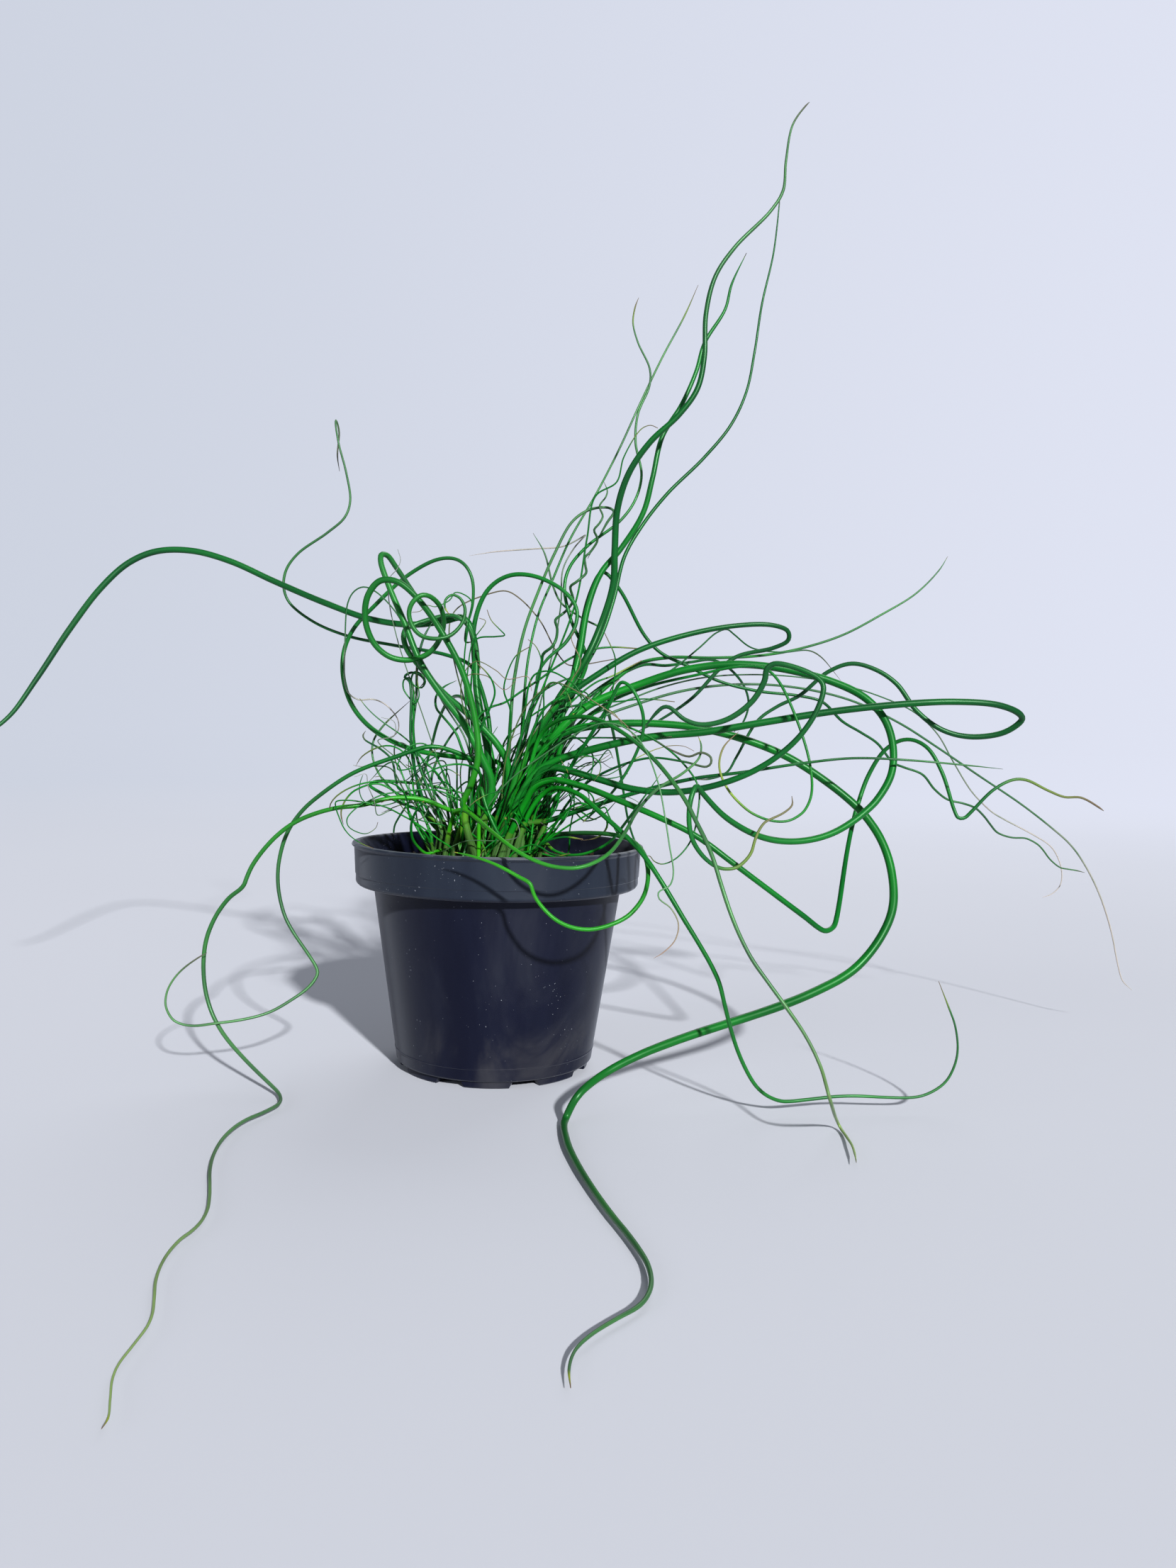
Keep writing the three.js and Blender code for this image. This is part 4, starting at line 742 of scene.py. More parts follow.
# How dull a green at root and tip.
DULL = {
    "trail_left": (-0.3, 1.9), "loop_before_pot": (0.6, -0.2), "loop_over_rim": (-0.5, 0.9),
    "sweep_right_to_front": (-1.2, 0.7), "whip_low_left": (-0.4, 1.2), "upright_kinked": (0.3, 0.8),
    "upright_straight": (-0.5, 1.1), "upright_wavy": (-1.0, 1.0), "corkscrew_centre": (-0.2, 0.8),
    "hook_centre": (-0.9, 1.0), "wave_right_long": (-1.2, 0.7), "whip_right_upper": (-0.2, 0.7),
    "trail_front_right": (-0.7, 2.0), "trail_low_right": (-0.1, 0.45),
    "whip_upper_left": (-0.6, 0.9), "tallest_front": (-1.6, 1.0), "thread_left_arc": (-0.3, 1.0),
    "whip_right_level": (-0.8, 0.6), "loop_left_front": (0.0, 0.3), "loop_left_back": (0.08, 0.3),
    "ring_left_inner": (0.08, 0.3), "ring_left_wide": (0.05, 0.25),
}
EVEN_DULL = (0.0, 0.12)
# Stems that are darker than the slot they fill.
DARKER = ("sweep_right_flat_loop", "loop_right_upper", "arc_right_back", "curl_right_yellow",
          "whip_right_level", "arch_far_left", "curl_right_high")
# Thin stems that have dried to straw, and the one that stays light green until near its tip.
STRAW = ("whip_right_back", "thread_right_back", "thread_top_back", "hook_left_grey")
LIGHTER = ("thread_front_hanging",)
# How thick at root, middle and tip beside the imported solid.
GIRTHS = {
    "sweep_right_to_front": (0.95, 1.32, 1.05), "ring_right_wide": (1.1, 1.3, 1.25),
    "sweep_right_flat_loop": (1.3, 1.2, 0.9), "fold_right_front": (1.0, 1.05, 2.0),
    "crook_right": (1.05, 1.1, 1.5), "loop_right_upper": (1.15, 1.15, 1.2),
    "whip_right_upper": (1.4, 1.4, 1.0), "whip_right_level": (1.3, 1.2, 0.9),
    "arc_right_back": (1.0, 1.3, 1.4), "ring_right_thin": (1.2, 1.2, 1.2),
    "trail_front_right": (0.9, 1.0, 1.3), "curl_right_high": (0.85, 0.85, 0.85),
    "whip_right_back": (0.9, 1.0, 0.9), "thread_right_back": (0.8, 0.8, 0.8),
    "thread_front_hanging": (0.65, 0.65, 0.65), "thread_dry_wanderer": (0.7, 0.7, 0.7),
    "thread_top_back": (0.75, 0.75, 0.75), "tallest_front": (1.26, 1.26, 1.3),
    "tall_second": (1.0, 1.1, 1.35), "upright_kinked": (1.1, 1.1, 1.5),
    "corkscrew_centre": (1.0, 1.05, 1.0), "arch_top_centre": (1.1, 1.15, 1.2),
    "upright_left_outer": (1.1, 1.25, 1.3), "upright_left_inner": (1.1, 1.25, 1.3),
    "arch_far_left": (1.2, 1.0, 1.5), "loop_left_front": (0.82, 1.05, 1.2),
    "loop_left_back": (1.1, 1.2, 1.5), "ring_left_inner": (1.2, 1.3, 1.3),
    "ring_left_wide": (1.0, 1.0, 1.2), "whip_upper_left": (1.4, 1.2, 1.1),
    "trail_left": (0.7, 0.9, 0.8), "hook_left_grey": (0.75, 0.75, 0.75),
}
EVEN_GIRTH = (1.0, 1.0, 1.1)


def finish_of(name, slot):
    """The finish of a stem: that of its slot, unless it is named for another."""
    if name in LIGHTER:
        return "thread_light"
    if name in STRAW:
        return "thread_straw"
    return "stem_deep" if name in DARKER else slot


def dress_stems():
    """A fine stem with its husk in place of each packed stem."""
    for name, slot in SLOT_OF.items():
        if not slot.startswith("stem_") or name.startswith("tuft_"):
            continue
        chance = random.Random(name)
        ages = AGES.get(name, (0.0, 1.0))
        dull = DULL.get(name, EVEN_DULL)
        girths = GIRTHS.get(name, EVEN_GIRTH)
        line = stem_line(packed_lines(name)[0], DRY_FROM.get(name, DRY_TIP), ages, girths, dull)
        width = line[0][1]["width"]
        rise = chance.uniform(*HUSK_RISE) * MM
        husk = sheath_line(line, rise, chance.uniform(*HUSK_SWELL) / max(0.8, width / MM))
        sides = STEM_SIDES if width > THIN else THIN_SIDES
        finish = FINISHES[finish_of(name, slot)]
        seed = chance.uniform(0, SEED_RUN)
        piece = tubes(name + "_stem", [line, husk], sides, finish, STEM_UNEVEN, seed)
        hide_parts(name)
        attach(piece, "root")


# ---- Tufts ----

CROWN_X = -5
ROOT_PITCH = 4.5
ROW_PITCH = 4
TUFT_SLOTS = {
    "tuft_left": (-4, -2), "tuft_left_back": (-2, 3), "tuft_front": (0, -3), "tuft_right": (3, -3),
    "tuft_right_high": (0, -2), "tuft_right_back": (-1, 0), "tuft_back": (-2, 0),
}
TUFT_GAPS = 0.22
TUFT_GIRTH = 0.55 * MM
TUFT_AGES = (0.0, 0.36)
TUFT_SLIM = (0.55, 1.0)
TUFT_DRY = (0.8, 0.92, 0.99, 0.99)
TUFT_WIDE = (3.0, 6.0)
TUFT_TURNS = (1.0, 2.3)
TUFT_HUSK = (5, 11)


def slot_place(column, row):
    """Where a crown slot lies, in metres."""
    shift = 0.5 if abs(row) % 2 == 1 else 0.0
    return Vector(((CROWN_X + (column + shift) * ROOT_PITCH) * MM, row * ROW_PITCH * MM, 0))


def tuft_line(rings, foot, chance):
    """A tuft's fine stem, led on from where it leaves its neighbours down to the tuft's foot."""
    low = foot + Vector((chance.uniform(-0.7, 0.7) * MM, chance.uniform(-0.7, 0.7) * MM, 0))
    start = [(low + Vector((0, 0, SOIL_TOP - 3 * MM)), TUFT_GIRTH)]
    if rings[0][0].z > SOIL_TOP + 4 * MM:
        start.append((low + Vector((0, 0, SOIL_TOP + 2 * MM)), TUFT_GIRTH))
    slim = chance.uniform(*TUFT_SLIM)
    line = stem_line(start + rings[1:], chance.choice(TUFT_DRY), TUFT_AGES, (slim, slim, slim))
    wide = chance.uniform(*TUFT_WIDE) * MM
    turns = chance.uniform(*TUFT_TURNS) * chance.choice((-1, 1))
    return wound(line, wide, turns, chance)


def wound(line, wide, turns, chance):
    """The same line wound round itself, more and more towards its tip."""
    start = chance.uniform(0, TAU)
    made = []
    for k, (place, values) in enumerate(line):
        along = k / (len(line) - 1)
        angle = start + TAU * turns * along
        reach = wide * along ** 1.1
        shift = Vector((math.cos(angle), math.sin(angle), 0.7 * math.cos(angle + 1))) * reach
        made.append((place + shift, values))
    return made


def dress_tufts():
    """Fine curled stems in place of each packed tuft."""
    for name, slot in TUFT_SLOTS.items():
        chance = random.Random(name)
        foot = slot_place(*slot)
        lines = []
        for rings in packed_lines(name):
            line = tuft_line(rings, foot, chance)
            if chance.random() < TUFT_GAPS:
                continue
            lines.append(line)
            lines.append(sheath_line(line, chance.uniform(*TUFT_HUSK) * MM, 0.5))
        seed = chance.uniform(0, SEED_RUN)
        piece = tubes(name + "_curls", lines, THIN_SIDES, FINISHES["stem_mid"], 0.12, seed)
        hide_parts(name)
        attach(piece, "root")


# ---- Threads: the finest stems, each from the soil through points drawn on the sheet ----

# Finish, diameters at root and tip, root on the soil, depths at the first and last point, and
# the points across and down the sheet.
THREADS = {
    "rim_bright": ("stem_bright", (1.3, 0.8), (-20, -3), (-8, -24), (
        (618, 1200), (602, 1204), (590, 1195), (582, 1183), (580, 1165), (585, 1148), (598, 1130))),
    "rim_left_long": ("stem_mid", (0.7, 0.35), (-17, -8), (-12, -38), (
        (636, 1196), (620, 1185), (590, 1163), (567, 1150), (545, 1139), (520, 1133), (490, 1129),
        (474, 1131), (474, 1140), (478, 1152), (485, 1168), (495, 1180), (510, 1190), (527, 1197))),
    "rim_left_curl": ("stem_mid", (0.7, 0.3), (-12, -6), (-10, -34), (
        (668, 1150), (650, 1130), (620, 1116), (600, 1114), (565, 1117), (540, 1121), (520, 1130),
        (505, 1138), (490, 1154), (491, 1165), (502, 1173), (517, 1176), (530, 1168), (533, 1160))),
    "rim_left_hook": ("thread_grey", (0.5, 0.3), (-15, -2), (-6, -30), (
        (622, 1175), (609, 1133), (597, 1153), (585, 1157), (570, 1152), (553, 1143), (533, 1150),
        (528, 1130), (519, 1108), (516, 1092), (500, 1096))),
    "rim_left_crook": ("stem_mid", (0.55, 0.3), (-17, 1), (-4, -22), (
        (620, 1165), (590, 1130), (568, 1128), (550, 1110), (538, 1096), (529, 1096))),
    "left_pale_curl": ("thread_grey", (0.5, 0.3), (-15, 4), (-2, -20), (
        (628, 1150), (590, 1100), (560, 1070), (533, 1045), (556, 1038), (556, 1018), (538, 1012))),
    "left_loops": ("stem_mid", (0.8, 0.4), (-13, 3), (-4, -18), (
        (650, 1160), (630, 1100), (600, 1050), (575, 1055), (561, 1085), (590, 1080), (610, 1060),
        (625, 1055))),
    "left_wave": ("stem_mid", (0.8, 0.4), (-9, -2), (-6, -20), (
        (672, 1170), (645, 1120), (633, 1107), (618, 1097), (630, 1085), (650, 1095))),
    "left_top_hook": ("thread_grey", (0.5, 0.3), (-14, 6), (0, -14), (
        (640, 1140), (600, 1020), (560, 900), (548, 840), (550, 815), (560, 803), (565, 790),
        (561, 775))),
    "centre_zigzag": ("stem_mid", (0.9, 0.4), (-8, 4), (2, -6), (
        (684, 1130), (668, 1050), (664, 980), (668, 930), (672, 902), (700, 898), (712, 896),
        (705, 888), (693, 875), (687, 860))),
    "centre_nook": ("stem_mid", (0.8, 0.4), (-6, 6), (4, 0), (
        (690, 1120), (676, 1040), (658, 985), (660, 945), (667, 905), (685, 876), (676, 872))),
    "centre_brown": ("thread_brown", (0.5, 0.3), (-9, 1), (0, -12), (
        (680, 1120), (662, 1030), (650, 975), (656, 947), (672, 933), (700, 946), (715, 958),
        (745, 955), (750, 975))),
    "centre_olive": ("thread_brown", (0.5, 0.3), (-7, 2), (-2, -10), (
        (684, 1110), (668, 1020), (658, 955), (685, 953), (712, 973), (728, 960))),
    "centre_hook": ("stem_mid", (0.8, 0.4), (-2, 5), (4, -2), (
        (706, 1130), (730, 1060), (752, 990), (764, 935), (756, 912), (745, 902))),
    "centre_arc": ("stem_mid", (0.9, 0.5), (-3, 2), (2, -8), (
        (708, 1130), (715, 1060), (720, 1003), (711, 975), (714, 955), (728, 925), (748, 912))),
    "right_arc": ("stem_mid", (0.9, 0.5), (4, 4), (4, -6), (
        (742, 1110), (790, 1050), (835, 1010), (858, 990), (868, 945), (867, 925), (853, 893))),
    "right_olive": ("thread_brown", (0.6, 0.35), (1, 2), (-4, -30), (
        (712, 1080), (740, 1000), (770, 970), (785, 963), (822, 980), (880, 1020), (895, 1040))),
    "centre_yellow": ("thread_brown", (0.6, 0.35), (1, -1), (-2, -10), (
        (722, 1090), (770, 1010), (806, 960), (819, 935), (806, 900), (812, 887))),
    "centre_high_hook": ("stem_mid", (0.9, 0.45), (-1, 8), (6, 2), (
        (712, 1100), (770, 960), (812, 850), (828, 760), (840, 700), (870, 680), (880, 645),
        (905, 605), (918, 600), (928, 604))),
    "crown_kinked": ("stem_bright", (1.6, 1.2), (-6, -14), (-18, -26), (
        (678, 1112), (685, 1135), (697, 1165), (707, 1180), (713, 1172), (713, 1153))),
    "crown_yellow": ("stem_pale", (1.0, 0.7), (6, -12), (-16, -30), (
        (752, 1200), (768, 1188), (795, 1181), (822, 1184))),
    "crown_light": ("stem_pale", (0.8, 0.5), (5, -14), (-18, -30), (
        (748, 1192), (762, 1195), (775, 1203), (790, 1207), (804, 1204))),
    "crown_arc": ("stem_mid", (0.7, 0.4), (12, -4), (-8, -18), (
        (798, 1208), (804, 1170), (810, 1130), (803, 1095), (790, 1070))),
    "crown_thread": ("thread_grey", (0.45, 0.3), (-20, -10), (-16, -30), (
        (628, 1200), (640, 1193), (660, 1186), (700, 1186), (728, 1182), (733, 1175), (728, 1158),
        (720, 1154))),
    "rim_front_light": ("stem_pale", (0.6, 0.4), (-3, -18), (-24, -40), (
        (712, 1180), (700, 1185), (683, 1198), (677, 1208))),
    "right_dark_arc": ("stem_deep", (0.8, 0.5), (9, -2), (-6, -20), (
        (768, 1165), (775, 1110), (790, 1092), (806, 1110), (800, 1150), (780, 1170), (762, 1160))),
    "right_dark_fold": ("stem_deep", (0.8, 0.4), (7, -5), (-8, -26), (
        (762, 1150), (808, 1145), (825, 1158), (850, 1150), (868, 1132))),
    "right_dark_hook": ("stem_deep", (0.8, 0.4), (8, 1), (-4, -16), (
        (760, 1150), (795, 1115), (825, 1093), (843, 1075), (858, 1058), (865, 1070))),
    "left_coil": ("stem_mid", (0.8, 0.5), (-17, 4), (-2, -4), (
        (600, 1150), (585, 1080), (583, 1010), (583, 972), (580, 958), (585, 948), (594, 951),
        (600, 961), (595, 970), (584, 967), (577, 956), (570, 959), (569, 971), (577, 984),
        (586, 992), (591, 983), (589, 962), (587, 940))),
    "left_wavy": ("stem_mid", (0.7, 0.35), (-10, 6), (4, -8), (
        (666, 1090), (658, 1010), (655, 930), (661, 880), (665, 848), (653, 838), (642, 836),
        (635, 846), (625, 852), (614, 856), (602, 854), (593, 862), (581, 864))),
    "left_bow": ("stem_mid", (1.0, 0.55), (-11, 0), (-4, -12), (
        (668, 1090), (676, 1035), (690, 1002), (698, 978), (694, 960), (684, 946), (673, 936))),
    "fan_long": ("stem_mid", (0.8, 0.8), (-12, 4), (0, 8), (
        (662, 1090), (668, 1040), (676, 1010), (692, 998), (712, 991), (736, 975), (759, 960),
        (785, 941), (806, 928), (819, 922), (842, 915), (866, 913), (900, 915))),
    "fan_arch": ("stem_mid", (0.9, 0.45), (-4, 3), (0, -14), (
        (724, 1090), (735, 1040), (741, 1000), (746, 967), (754, 952), (767, 947), (780, 948),
        (796, 956), (811, 967), (822, 982), (832, 991), (848, 996), (866, 1006), (878, 1022))),
    "fan_small_arch": ("stem_mid", (0.7, 0.4), (2, 1), (-4, -12), (
        (745, 1090), (760, 1040), (767, 1000), (768, 974), (777, 963), (788, 964), (796, 971),
        (803, 984), (808, 1002))),
    "fan_pale": ("stem_pale", (1.0, 0.6), (4, 2), (2, 6), (
        (752, 1090), (782, 1020), (812, 985), (842, 962), (863, 954), (884, 943), (905, 932))),
    "fan_dark": ("stem_deep", (1.3, 0.6), (-4, 1), (-2, 4), (
        (722, 1090), (733, 1050), (741, 1022), (751, 993), (765, 976), (785, 964), (806, 957),
        (832, 960))),
    "fan_upright": ("stem_mid", (1.0, 0.5), (6, 2), (2, 0), (
        (770, 1100), (812, 1060), (845, 1030), (855, 1006), (858, 985), (863, 970), (874, 958))),
    "fan_level": ("stem_deep", (1.0, 0.5), (4, -1), (-4, -16), (
        (745, 1110), (770, 1062), (796, 1044), (830, 1041), (870, 1041), (910, 1042), (948, 1039))),
    "fan_bright": ("stem_bright", (1.1, 0.7), (1, -1), (-6, -10), (
        (735, 1090), (752, 1030), (768, 1000), (788, 985), (808, 976), (820, 984), (818, 999),
        (808, 1008))),
    "fan_low": ("stem_mid", (0.9, 0.5), (5, 0), (-2, -8), (
        (748, 1110), (785, 1050), (816, 1010), (845, 993), (879, 989), (910, 986), (952, 990))),
    "right_drop": ("stem_mid", (0.9, 0.4), (3, -8), (-14, -46), (
        (730, 1110), (800, 1030), (870, 1022), (925, 1045), (962, 1075), (985, 1110), (984, 1150),
        (975, 1185), (955, 1210), (935, 1219), (923, 1215), (917, 1208), (911, 1208))),
}
THREAD_STEP = 1.0 * MM
THREAD_SUNK = 3
THREAD_LIFT = 4
THREAD_SIDES = 6
THREAD_SEED = 50.0
THREAD_AGES = (0.0, 0.6)
# Share of its length from which a thread dries, by finish, and for the other finishes.
THREAD_DRY = {"stem_bright": 0.99, "stem_mid": 0.9, "stem_deep": 0.95, "stem_pale": 0.8}
OTHER_DRY = 0.6


def thread_line(finish, widths, root, depths, drawn):
    """A thread's fine line from the soil through its drawn points."""
    foot = Vector((root[0] * MM, root[1] * MM, SOIL_TOP))
    points = [foot - Vector((0, 0, THREAD_SUNK * MM)), foot + Vector((0, 0, THREAD_LIFT * MM))]
    for k, (across, down) in enumerate(drawn):
        share = k / (len(drawn) - 1)
        points.append(placed(across, down, depths[0] + (depths[1] - depths[0]) * share))
    radii = []
    for k in range(len(points)):
        share = k / (len(points) - 1)
        radii.append((widths[0] + (widths[1] - widths[0]) * share) * MM / 2)
    places, widths = smooth_line(points, radii, THREAD_STEP)
    return facts_along(places, widths, THREAD_DRY.get(finish, OTHER_DRY), THREAD_AGES)


def add_threads():
    """The drawn threads, gathered into a piece for each finish."""
    for finish in (*GREENS, "thread_grey", "thread_brown"):
        lines = [thread_line(*facts) for facts in THREADS.values() if facts[0] == finish]
        if lines:
            name = finish + "_threads"
            piece = tubes(name, lines, THREAD_SIDES, FINISHES[finish], STEM_UNEVEN, THREAD_SEED)
            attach(piece, "root")


# ---- Curls: short hair-fine stems at the crown's sides and back ----

CURL_SEED = 73
# The curls leave the front of the crown open, so that the husks show.
CURL_SIDES = (-0.6, math.pi + 0.6)
CURL_SPREAD = (17, 12)
CURL_LENGTHS = (30, 40, 50, 58, 66)
CURL_POINTS = 22
CURL_TUBE_SIDES = 5
CURL_DRY = (0.55, 0.8, 0.95, 0.99)


def curl_line(chance):
    """One curl: it leans out of the crown in an arch and winds round that arch."""
    side = chance.uniform(*CURL_SIDES)
    spread = chance.uniform(0.2, 1.0) ** 0.6
    foot = Vector((
        CROWN_X + CURL_SPREAD[0] * spread * math.cos(side),
        CURL_SPREAD[1] * spread * math.sin(side), SOIL_TOP / MM,
    ))
    lean = side + chance.uniform(-0.9, 0.9)
    long = chance.choice(CURL_LENGTHS) * chance.uniform(0.8, 1.15)
    slant = chance.uniform(0.2, 1.0)
    turns = chance.uniform(0.7, 1.7) * chance.choice((-1, 1))
    wide = chance.uniform(4.0, 10.0)
    start = chance.uniform(0, TAU)
    points = [foot - Vector((0, 0, 3)), foot + Vector((0, 0, 2))]
    for k in range(1, CURL_POINTS + 1):
        along = k / CURL_POINTS
        out = long * slant * along ** 1.4
        rise = long * (1.05 * along - 0.62 * slant * along ** 2)
        angle = start + TAU * turns * along ** 1.3
        reach = wide * along ** 0.8 * (1 - 0.35 * along)
        over = reach * math.cos(angle)
        lift = reach * math.sin(angle)
        points.append(foot + Vector((
            out * math.cos(lean) + over * math.sin(lean) + 0.5 * lift,
            out * math.sin(lean) - over * math.cos(lean),
            2 + rise + lift * 0.8,
        )))
    points = [point * MM for point in points]
    thick = chance.uniform(0.26, 0.48) * MM
    radii = [thick * (1 - 0.55 * k / len(points)) for k in range(len(points))]
    places, widths = smooth_line(points, radii, THREAD_STEP)
    return facts_along(places, widths, chance.choice(CURL_DRY))


def add_curls(name, finish, count, seed):
    """A piece of curls in one finish."""
    chance = random.Random(seed)
    lines = [curl_line(chance) for _ in range(count)]
    piece = tubes(name, lines, CURL_TUBE_SIDES, FINISHES[finish], STEM_UNEVEN, 60.0 + seed)
    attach(piece, "root")


# ---- Soil ----

SOIL_RADIUS = 49.4
SOIL_DROP = 1.2
SOIL_SLOPE = 8
SOIL_LOW = 4.4
SHOULDER = 67.2
BODY_LOW_RADIUS = 33.9
BODY_TOP_RADIUS = 43.2
SOIL_TURNS = 120
SOIL_RINGS = 46


def lumps(x, y):
    """Height of the soil's surface above its level, from a few crossed waves."""
    near = math.sin(x * 0.61 + 1.3) * math.sin(y * 0.53 + 0.4)
    fine = math.sin(x * 1.9 + y * 1.3) * math.sin(y * 2.3 - x * 0.7 + 2.0)
    return 0.35 * near + 0.2 * fine


def lathe(profile, turns, shift=None):
    """A closed turned shape from (radius, height) pairs that start and end on the axis."""
    shape = bmesh.new()
    rows = []
    for radius, height in profile:
        row = []
        for k in range(turns if radius > 0 else 1):
            angle = TAU * k / turns
            place = Vector((radius * math.cos(angle), radius * math.sin(angle), height))
            if shift:
                place = shift(place, angle)
            row.append(shape.verts.new(place * MM))
        rows.append(row)
    for low, high in zip(rows, rows[1:]):
        for k in range(turns):
            corners = [low[k % len(low)], low[(k + 1) % turns % len(low)]]
            corners += [high[(k + 1) % turns % len(high)], high[k % len(high)]]
            shape.faces.new(list(dict.fromkeys(corners)))
    bmesh.ops.recalc_face_normals(shape, faces=shape.faces)
    return shape


def solid_piece(name, shape, finish):
    """Makes a piece from a bmesh shape."""
    mesh = bpy.data.meshes.new(name)
    shape.to_mesh(mesh)
    shape.free()
    mesh.materials.append(finish)
    piece = bpy.data.objects.new(name, mesh)
    bpy.context.collection.objects.link(piece)
    return piece


def smooth_faces(piece, sharp_from):
    """Shades a piece smooth, but for edges sharper than an angle in degrees."""
    piece.data.shade_smooth()
    piece.data.set_sharp_from_angle(angle=math.radians(sharp_from))


def soil_profile():
    """The soil's section: flat below, up the pot's inside, and a lumpy top."""
    profile = [(0, SOIL_LOW), (BODY_LOW_RADIUS, SOIL_LOW), (BODY_TOP_RADIUS, SHOULDER)]
    profile.append((SOIL_RADIUS - 0.1, SHOULDER + 0.1))
    for k in range(SOIL_RINGS + 1):
        radius = SOIL_RADIUS * (1 - k / SOIL_RINGS)
        outer = max(0.0, (radius - (SOIL_RADIUS - SOIL_SLOPE)) / SOIL_SLOPE)
        profile.append((radius, SOIL_TOP / MM - SOIL_DROP * outer))
    return profile


def raise_lumps(place, _angle):
    """Lifts the soil's top by its lumps."""
    if place.z > SHOULDER + 1:
        place.z += lumps(place.x, place.y)
    return place


def random_between(tree, seed, low, high):
    """A random vector for each crumb, between two."""
    made = node(tree, "FunctionNodeRandomValue", {"Seed": seed}, data_type="FLOAT_VECTOR")
    made.inputs["Min"].default_value = low
    made.inputs["Max"].default_value = high
    return made


def roughened(tree, mesh, amount):
    """A mesh whose corners are pushed about by noise."""
    place = node(tree, "GeometryNodeInputPosition").outputs[0]
    inputs = {"Vector": place, "Scale": CRUMB_NOISE, "Detail": 1.0}
    push = node(tree, "ShaderNodeTexNoise", inputs).outputs[1]
    inputs = {0: push, 1: (0.5, 0.5, 0.5)}
    push = node(tree, "ShaderNodeVectorMath", inputs, operation="SUBTRACT").outputs[0]
    push = node(tree, "ShaderNodeVectorMath", {0: push, 3: amount}, operation="SCALE").outputs[0]
    return node(tree, "GeometryNodeSetPosition", {"Geometry": mesh, "Offset": push}).outputs[0]


SCATTER_INPUTS = {
    "Ground": "Geometry", "Density": "Float", "Smallest": "Float", "Largest": "Float",
    "Seed": "Int", "Finish": "Material",
}
CRUMB_NOISE = 900.0
CRUMB_ROUGH = 0.7
CRUMB_SLIMMEST = (0.55, 0.7, 0.4)
CRUMB_WIDEST = (1.5, 1.1, 0.9)
CRUMB_SHIFT = 977.0
CRUMB_EDGE = 1.6
GROUND_TURNS = 60


def scatter_tree():
    """Scatters rough crumbs over a surface."""
    tree, given = shape_tree("scatter_crumbs", SCATTER_INPUTS, "Crumbs")
    inputs = {"Mesh": given["Ground"], "Density": given["Density"], "Seed": given["Seed"]}
    spots = node(tree, "GeometryNodeDistributePointsOnFaces", inputs)
    ball = node(tree, "GeometryNodeMeshIcoSphere", {"Radius": 0.5, "Subdivisions": 2}).outputs[0]
    spin = random_between(tree, given["Seed"], (0, 0, 0), (TAU, TAU, TAU))
    size = node(tree, "FunctionNodeRandomValue", {"Seed": given["Seed"]}, data_type="FLOAT")
    tree.links.new(given["Smallest"], size.inputs[2])
    tree.links.new(given["Largest"], size.inputs[3])
    shape = random_between(tree, given["Seed"], CRUMB_SLIMMEST, CRUMB_WIDEST)
    index = node(tree, "GeometryNodeInputIndex").outputs[0]
    tree.links.new(total(tree, index, CRUMB_SHIFT), shape.inputs["ID"])
    inputs = {0: shape.outputs[0], 3: size.outputs[1]}
    scale = node(tree, "ShaderNodeVectorMath", inputs, operation="SCALE").outputs[0]
    inputs = {
        "Points": spots.outputs[0], "Instance": ball, "Rotation": spin.outputs[0], "Scale": scale,
    }
    mesh = node(tree, "GeometryNodeInstanceOnPoints", inputs).outputs[0]
    mesh = node(tree, "GeometryNodeRealizeInstances", {0: mesh}).outputs[0]
    mesh = roughened(tree, mesh, times(tree, given["Largest"], CRUMB_ROUGH))
    finish_shape(tree, mesh, given["Finish"], "Crumbs")
    return tree


def crumbs(name, density, sizes, seed, finish):
    """A piece of scattered crumbs that lie half sunk in the soil's top."""
    top = SOIL_TOP / MM
    reach = SOIL_RADIUS - CRUMB_EDGE
    profile = [(0, top), (reach * 0.6, top), (reach, top - 0.8)]
    piece = solid_piece(name, lathe(profile, GROUND_TURNS, raise_lumps), finish)
    modifier = piece.modifiers.new("scatter", "NODES")
    modifier.node_group = SCATTER
    smallest, largest = (size * MM for size in sizes)
    set_inputs(modifier, Density=density, Smallest=smallest, Largest=largest)
    set_inputs(modifier, Seed=seed, Finish=finish)
    settled(piece)
    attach(piece, "root")


def dress_soil():
    """The soil's lumpy bed with its crumbs, bark and a little perlite."""
    peat, bark, perlite = (peat_material(name, *facts) for name, facts in PEATS.items())
    bed = solid_piece("soil_bed", lathe(soil_profile(), SOIL_TURNS, raise_lumps), peat)
    smooth_faces(bed, 60)
    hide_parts("soil")
    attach(bed, "root")
    crumbs("soil_crumbs", 240000.0, (0.7, 2.0), 11, peat)
    crumbs("soil_bark", 26000.0, (1.2, 3.2), 12, bark)
    crumbs("soil_perlite", 5200.0, (0.8, 2.0), 13, perlite)


# ---- Pot ----

POT_TURNS = 192
RIM_RADIUS = 52.5
RIM_TOP = 80.6
BAND_TOP_RADIUS = 51.6
BAND_LOW_RADIUS = 50.9
BAND_LOW = 65.7
BAND_STEP = 69.6
BAND_STEP_DEPTH = 0.25
BAND_ROUND = 1.6
BODY_TOP = 44.7
BODY_LOW = 35.4
HEEL = 3
WALL = 1.1
FLOOR_LOW = 2.4
FLOOR_TOP = 4
FOOT_OUTER = 34
FOOT_INNER = 31
PAD_RADIUS = 20
NOTCHES = 8
NOTCH_WIDTH = 9
DRAINS = 8
DRAIN_RADIUS = 2.6
DRAIN_RING = 25.5
DRAIN_SIDES = 24
DRAIN_DEPTH = 9


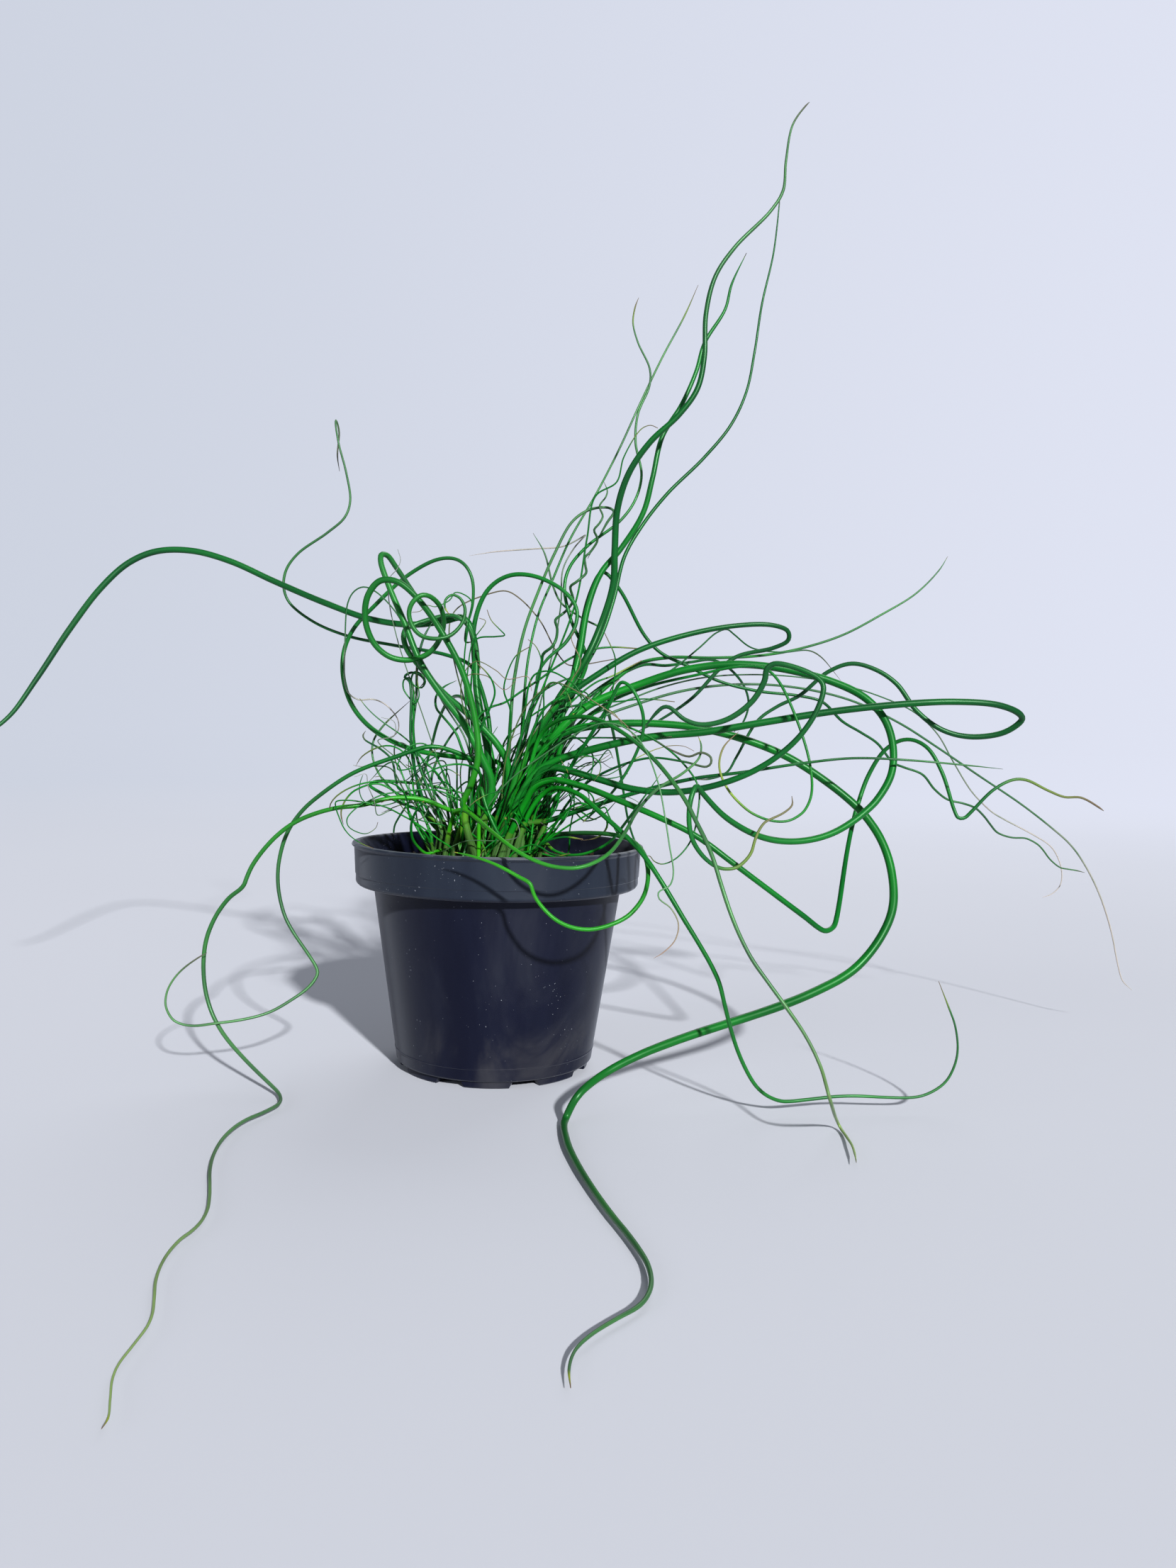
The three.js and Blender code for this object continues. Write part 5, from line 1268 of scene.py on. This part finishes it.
def body_radius(height):
    """Radius of the pot's outside below its band."""
    return BODY_LOW + (BODY_TOP - BODY_LOW) * (height - HEEL) / (BAND_LOW - HEEL)


def arc(radius, height, size, start, end, steps):
    """Points on a round corner; angles in degrees from straight outwards."""
    made = []
    for k in range(steps + 1):
        angle = math.radians(start + (end - start) * k / steps)
        made.append((radius + size * math.cos(angle), height + size * math.sin(angle)))
    return made


def pot_profile():
    """The pot's section, from the middle underneath, up the outside and down the inside."""
    heel = body_radius(HEEL + 0.9)
    profile = [(0, 0), (PAD_RADIUS - 0.3, 0), (PAD_RADIUS, 0.3), (PAD_RADIUS + 1.5, FLOOR_LOW)]
    profile += [(FOOT_INNER - 0.5, FLOOR_LOW), (FOOT_INNER, 0.3), (FOOT_INNER + 0.3, 0)]
    profile += [(FOOT_OUTER - 0.4, 0), (FOOT_OUTER, 0.4), (FOOT_OUTER, HEEL - 0.7)]
    profile += arc(heel - 0.9, HEEL + 0.5, 0.9, -70, 0, 4)
    profile += [(body_radius(h), h) for h in (6.5, 6.8)]
    profile += [(body_radius(h) + 0.12, h) for h in (6.95, 7.25)]
    profile += [(body_radius(h), h) for h in (7.4, 7.7, 20, 35, 50, 60, BAND_LOW - 0.9)]
    under = body_radius(BAND_LOW)
    profile += [(under + 0.25, BAND_LOW - 0.25), (under + 0.9, BAND_LOW)]
    profile += arc(BAND_LOW_RADIUS - BAND_ROUND, BAND_LOW + BAND_ROUND, BAND_ROUND, -90, 0, 8)
    profile += [(BAND_LOW_RADIUS, BAND_STEP - 0.35), (BAND_LOW_RADIUS + 0.04, BAND_STEP - 0.1)]
    step = BAND_LOW_RADIUS + BAND_STEP_DEPTH
    profile += [(step - 0.02, BAND_STEP + 0.1), (step, BAND_STEP + 0.35)]
    profile += [(BAND_TOP_RADIUS, RIM_TOP - 1.7), (BAND_TOP_RADIUS + 0.3, RIM_TOP - 1.35)]
    profile += arc(RIM_RADIUS - 0.55, RIM_TOP - 0.65, 0.55, -60, 90, 7)
    profile += arc(RIM_RADIUS - 1.7, RIM_TOP - 0.5, 0.5, 90, 180, 4)
    inner = BAND_LOW_RADIUS - WALL
    profile += [(inner + 0.2, RIM_TOP - 1.6), (inner, RIM_TOP - 3), (inner, BAND_LOW + WALL + 0.5)]
    profile += [(inner - 0.5, BAND_LOW + WALL), (body_radius(BAND_LOW + WALL) - WALL, BAND_LOW + WALL)]
    profile += [(body_radius(FLOOR_TOP + 1) - WALL, FLOOR_TOP + 1)]
    profile += [(body_radius(FLOOR_TOP) - WALL - 1, FLOOR_TOP), (0, FLOOR_TOP)]
    return profile


def notched(place, angle):
    """Cuts the notches out of the foot ring by lifting it where they are."""
    radius = math.hypot(place.x, place.y)
    if place.z > HEEL - 0.8 or radius < FOOT_INNER - 0.1:
        return place
    pitch = TAU / NOTCHES
    off = abs((angle / pitch) % 1 - 0.5) * pitch * radius
    if off < NOTCH_WIDTH / 2:
        place.z = HEEL - 0.75
    return place


def drain_cutter():
    """The drain holes' pegs, as one shape."""
    shape = bmesh.new()
    for k in range(DRAINS):
        angle = TAU * k / DRAINS
        made = bmesh.ops.create_cone(
            shape, cap_ends=True, segments=DRAIN_SIDES, depth=DRAIN_DEPTH * MM,
            radius1=DRAIN_RADIUS * MM, radius2=DRAIN_RADIUS * MM,
        )
        shift = Vector((DRAIN_RING * math.cos(angle), DRAIN_RING * math.sin(angle), 3)) * MM
        bmesh.ops.translate(shape, verts=made["verts"], vec=shift)
    return shape


def dress_pot():
    """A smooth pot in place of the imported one."""
    finish = pot_material()
    pot = solid_piece("pot_shell", lathe(pot_profile(), POT_TURNS, notched), finish)
    pegs = solid_piece("drain_pegs", drain_cutter(), finish)
    cut = pot.modifiers.new("drains", "BOOLEAN")
    cut.operation = "DIFFERENCE"
    cut.solver = "EXACT"
    cut.object = pegs
    settled(pot)
    bpy.data.objects.remove(pegs)
    smooth_faces(pot, 28)
    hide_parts("pot")
    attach(pot, "root")


# ---- All together ----

for subpart in frame["record"]["subparts"]:
    SLOT_OF[subpart["node"]] = subpart["material_slot"]
FINISHES = {slot: stem_material(slot) for slot in GREENS}
for name, (fresh, old) in THREAD_FINISHES.items():
    FINISHES[name] = thread_material(name, fresh, old)
TUBE = tube_tree()
SCATTER = scatter_tree()

bpy.context.scene.view_settings.view_transform = "Standard"
add_camera()
add_floor()
add_world()
add_lamps()
dress_pot()
dress_soil()
dress_stems()
dress_tufts()
add_threads()
add_curls("curls_green", "stem_mid", 22, CURL_SEED)
add_curls("curls_bright", "stem_bright", 12, CURL_SEED + 1)
add_curls("curls_grey", "thread_grey", 8, CURL_SEED + 2)
add_curls("curls_brown", "thread_brown", 8, CURL_SEED + 3)
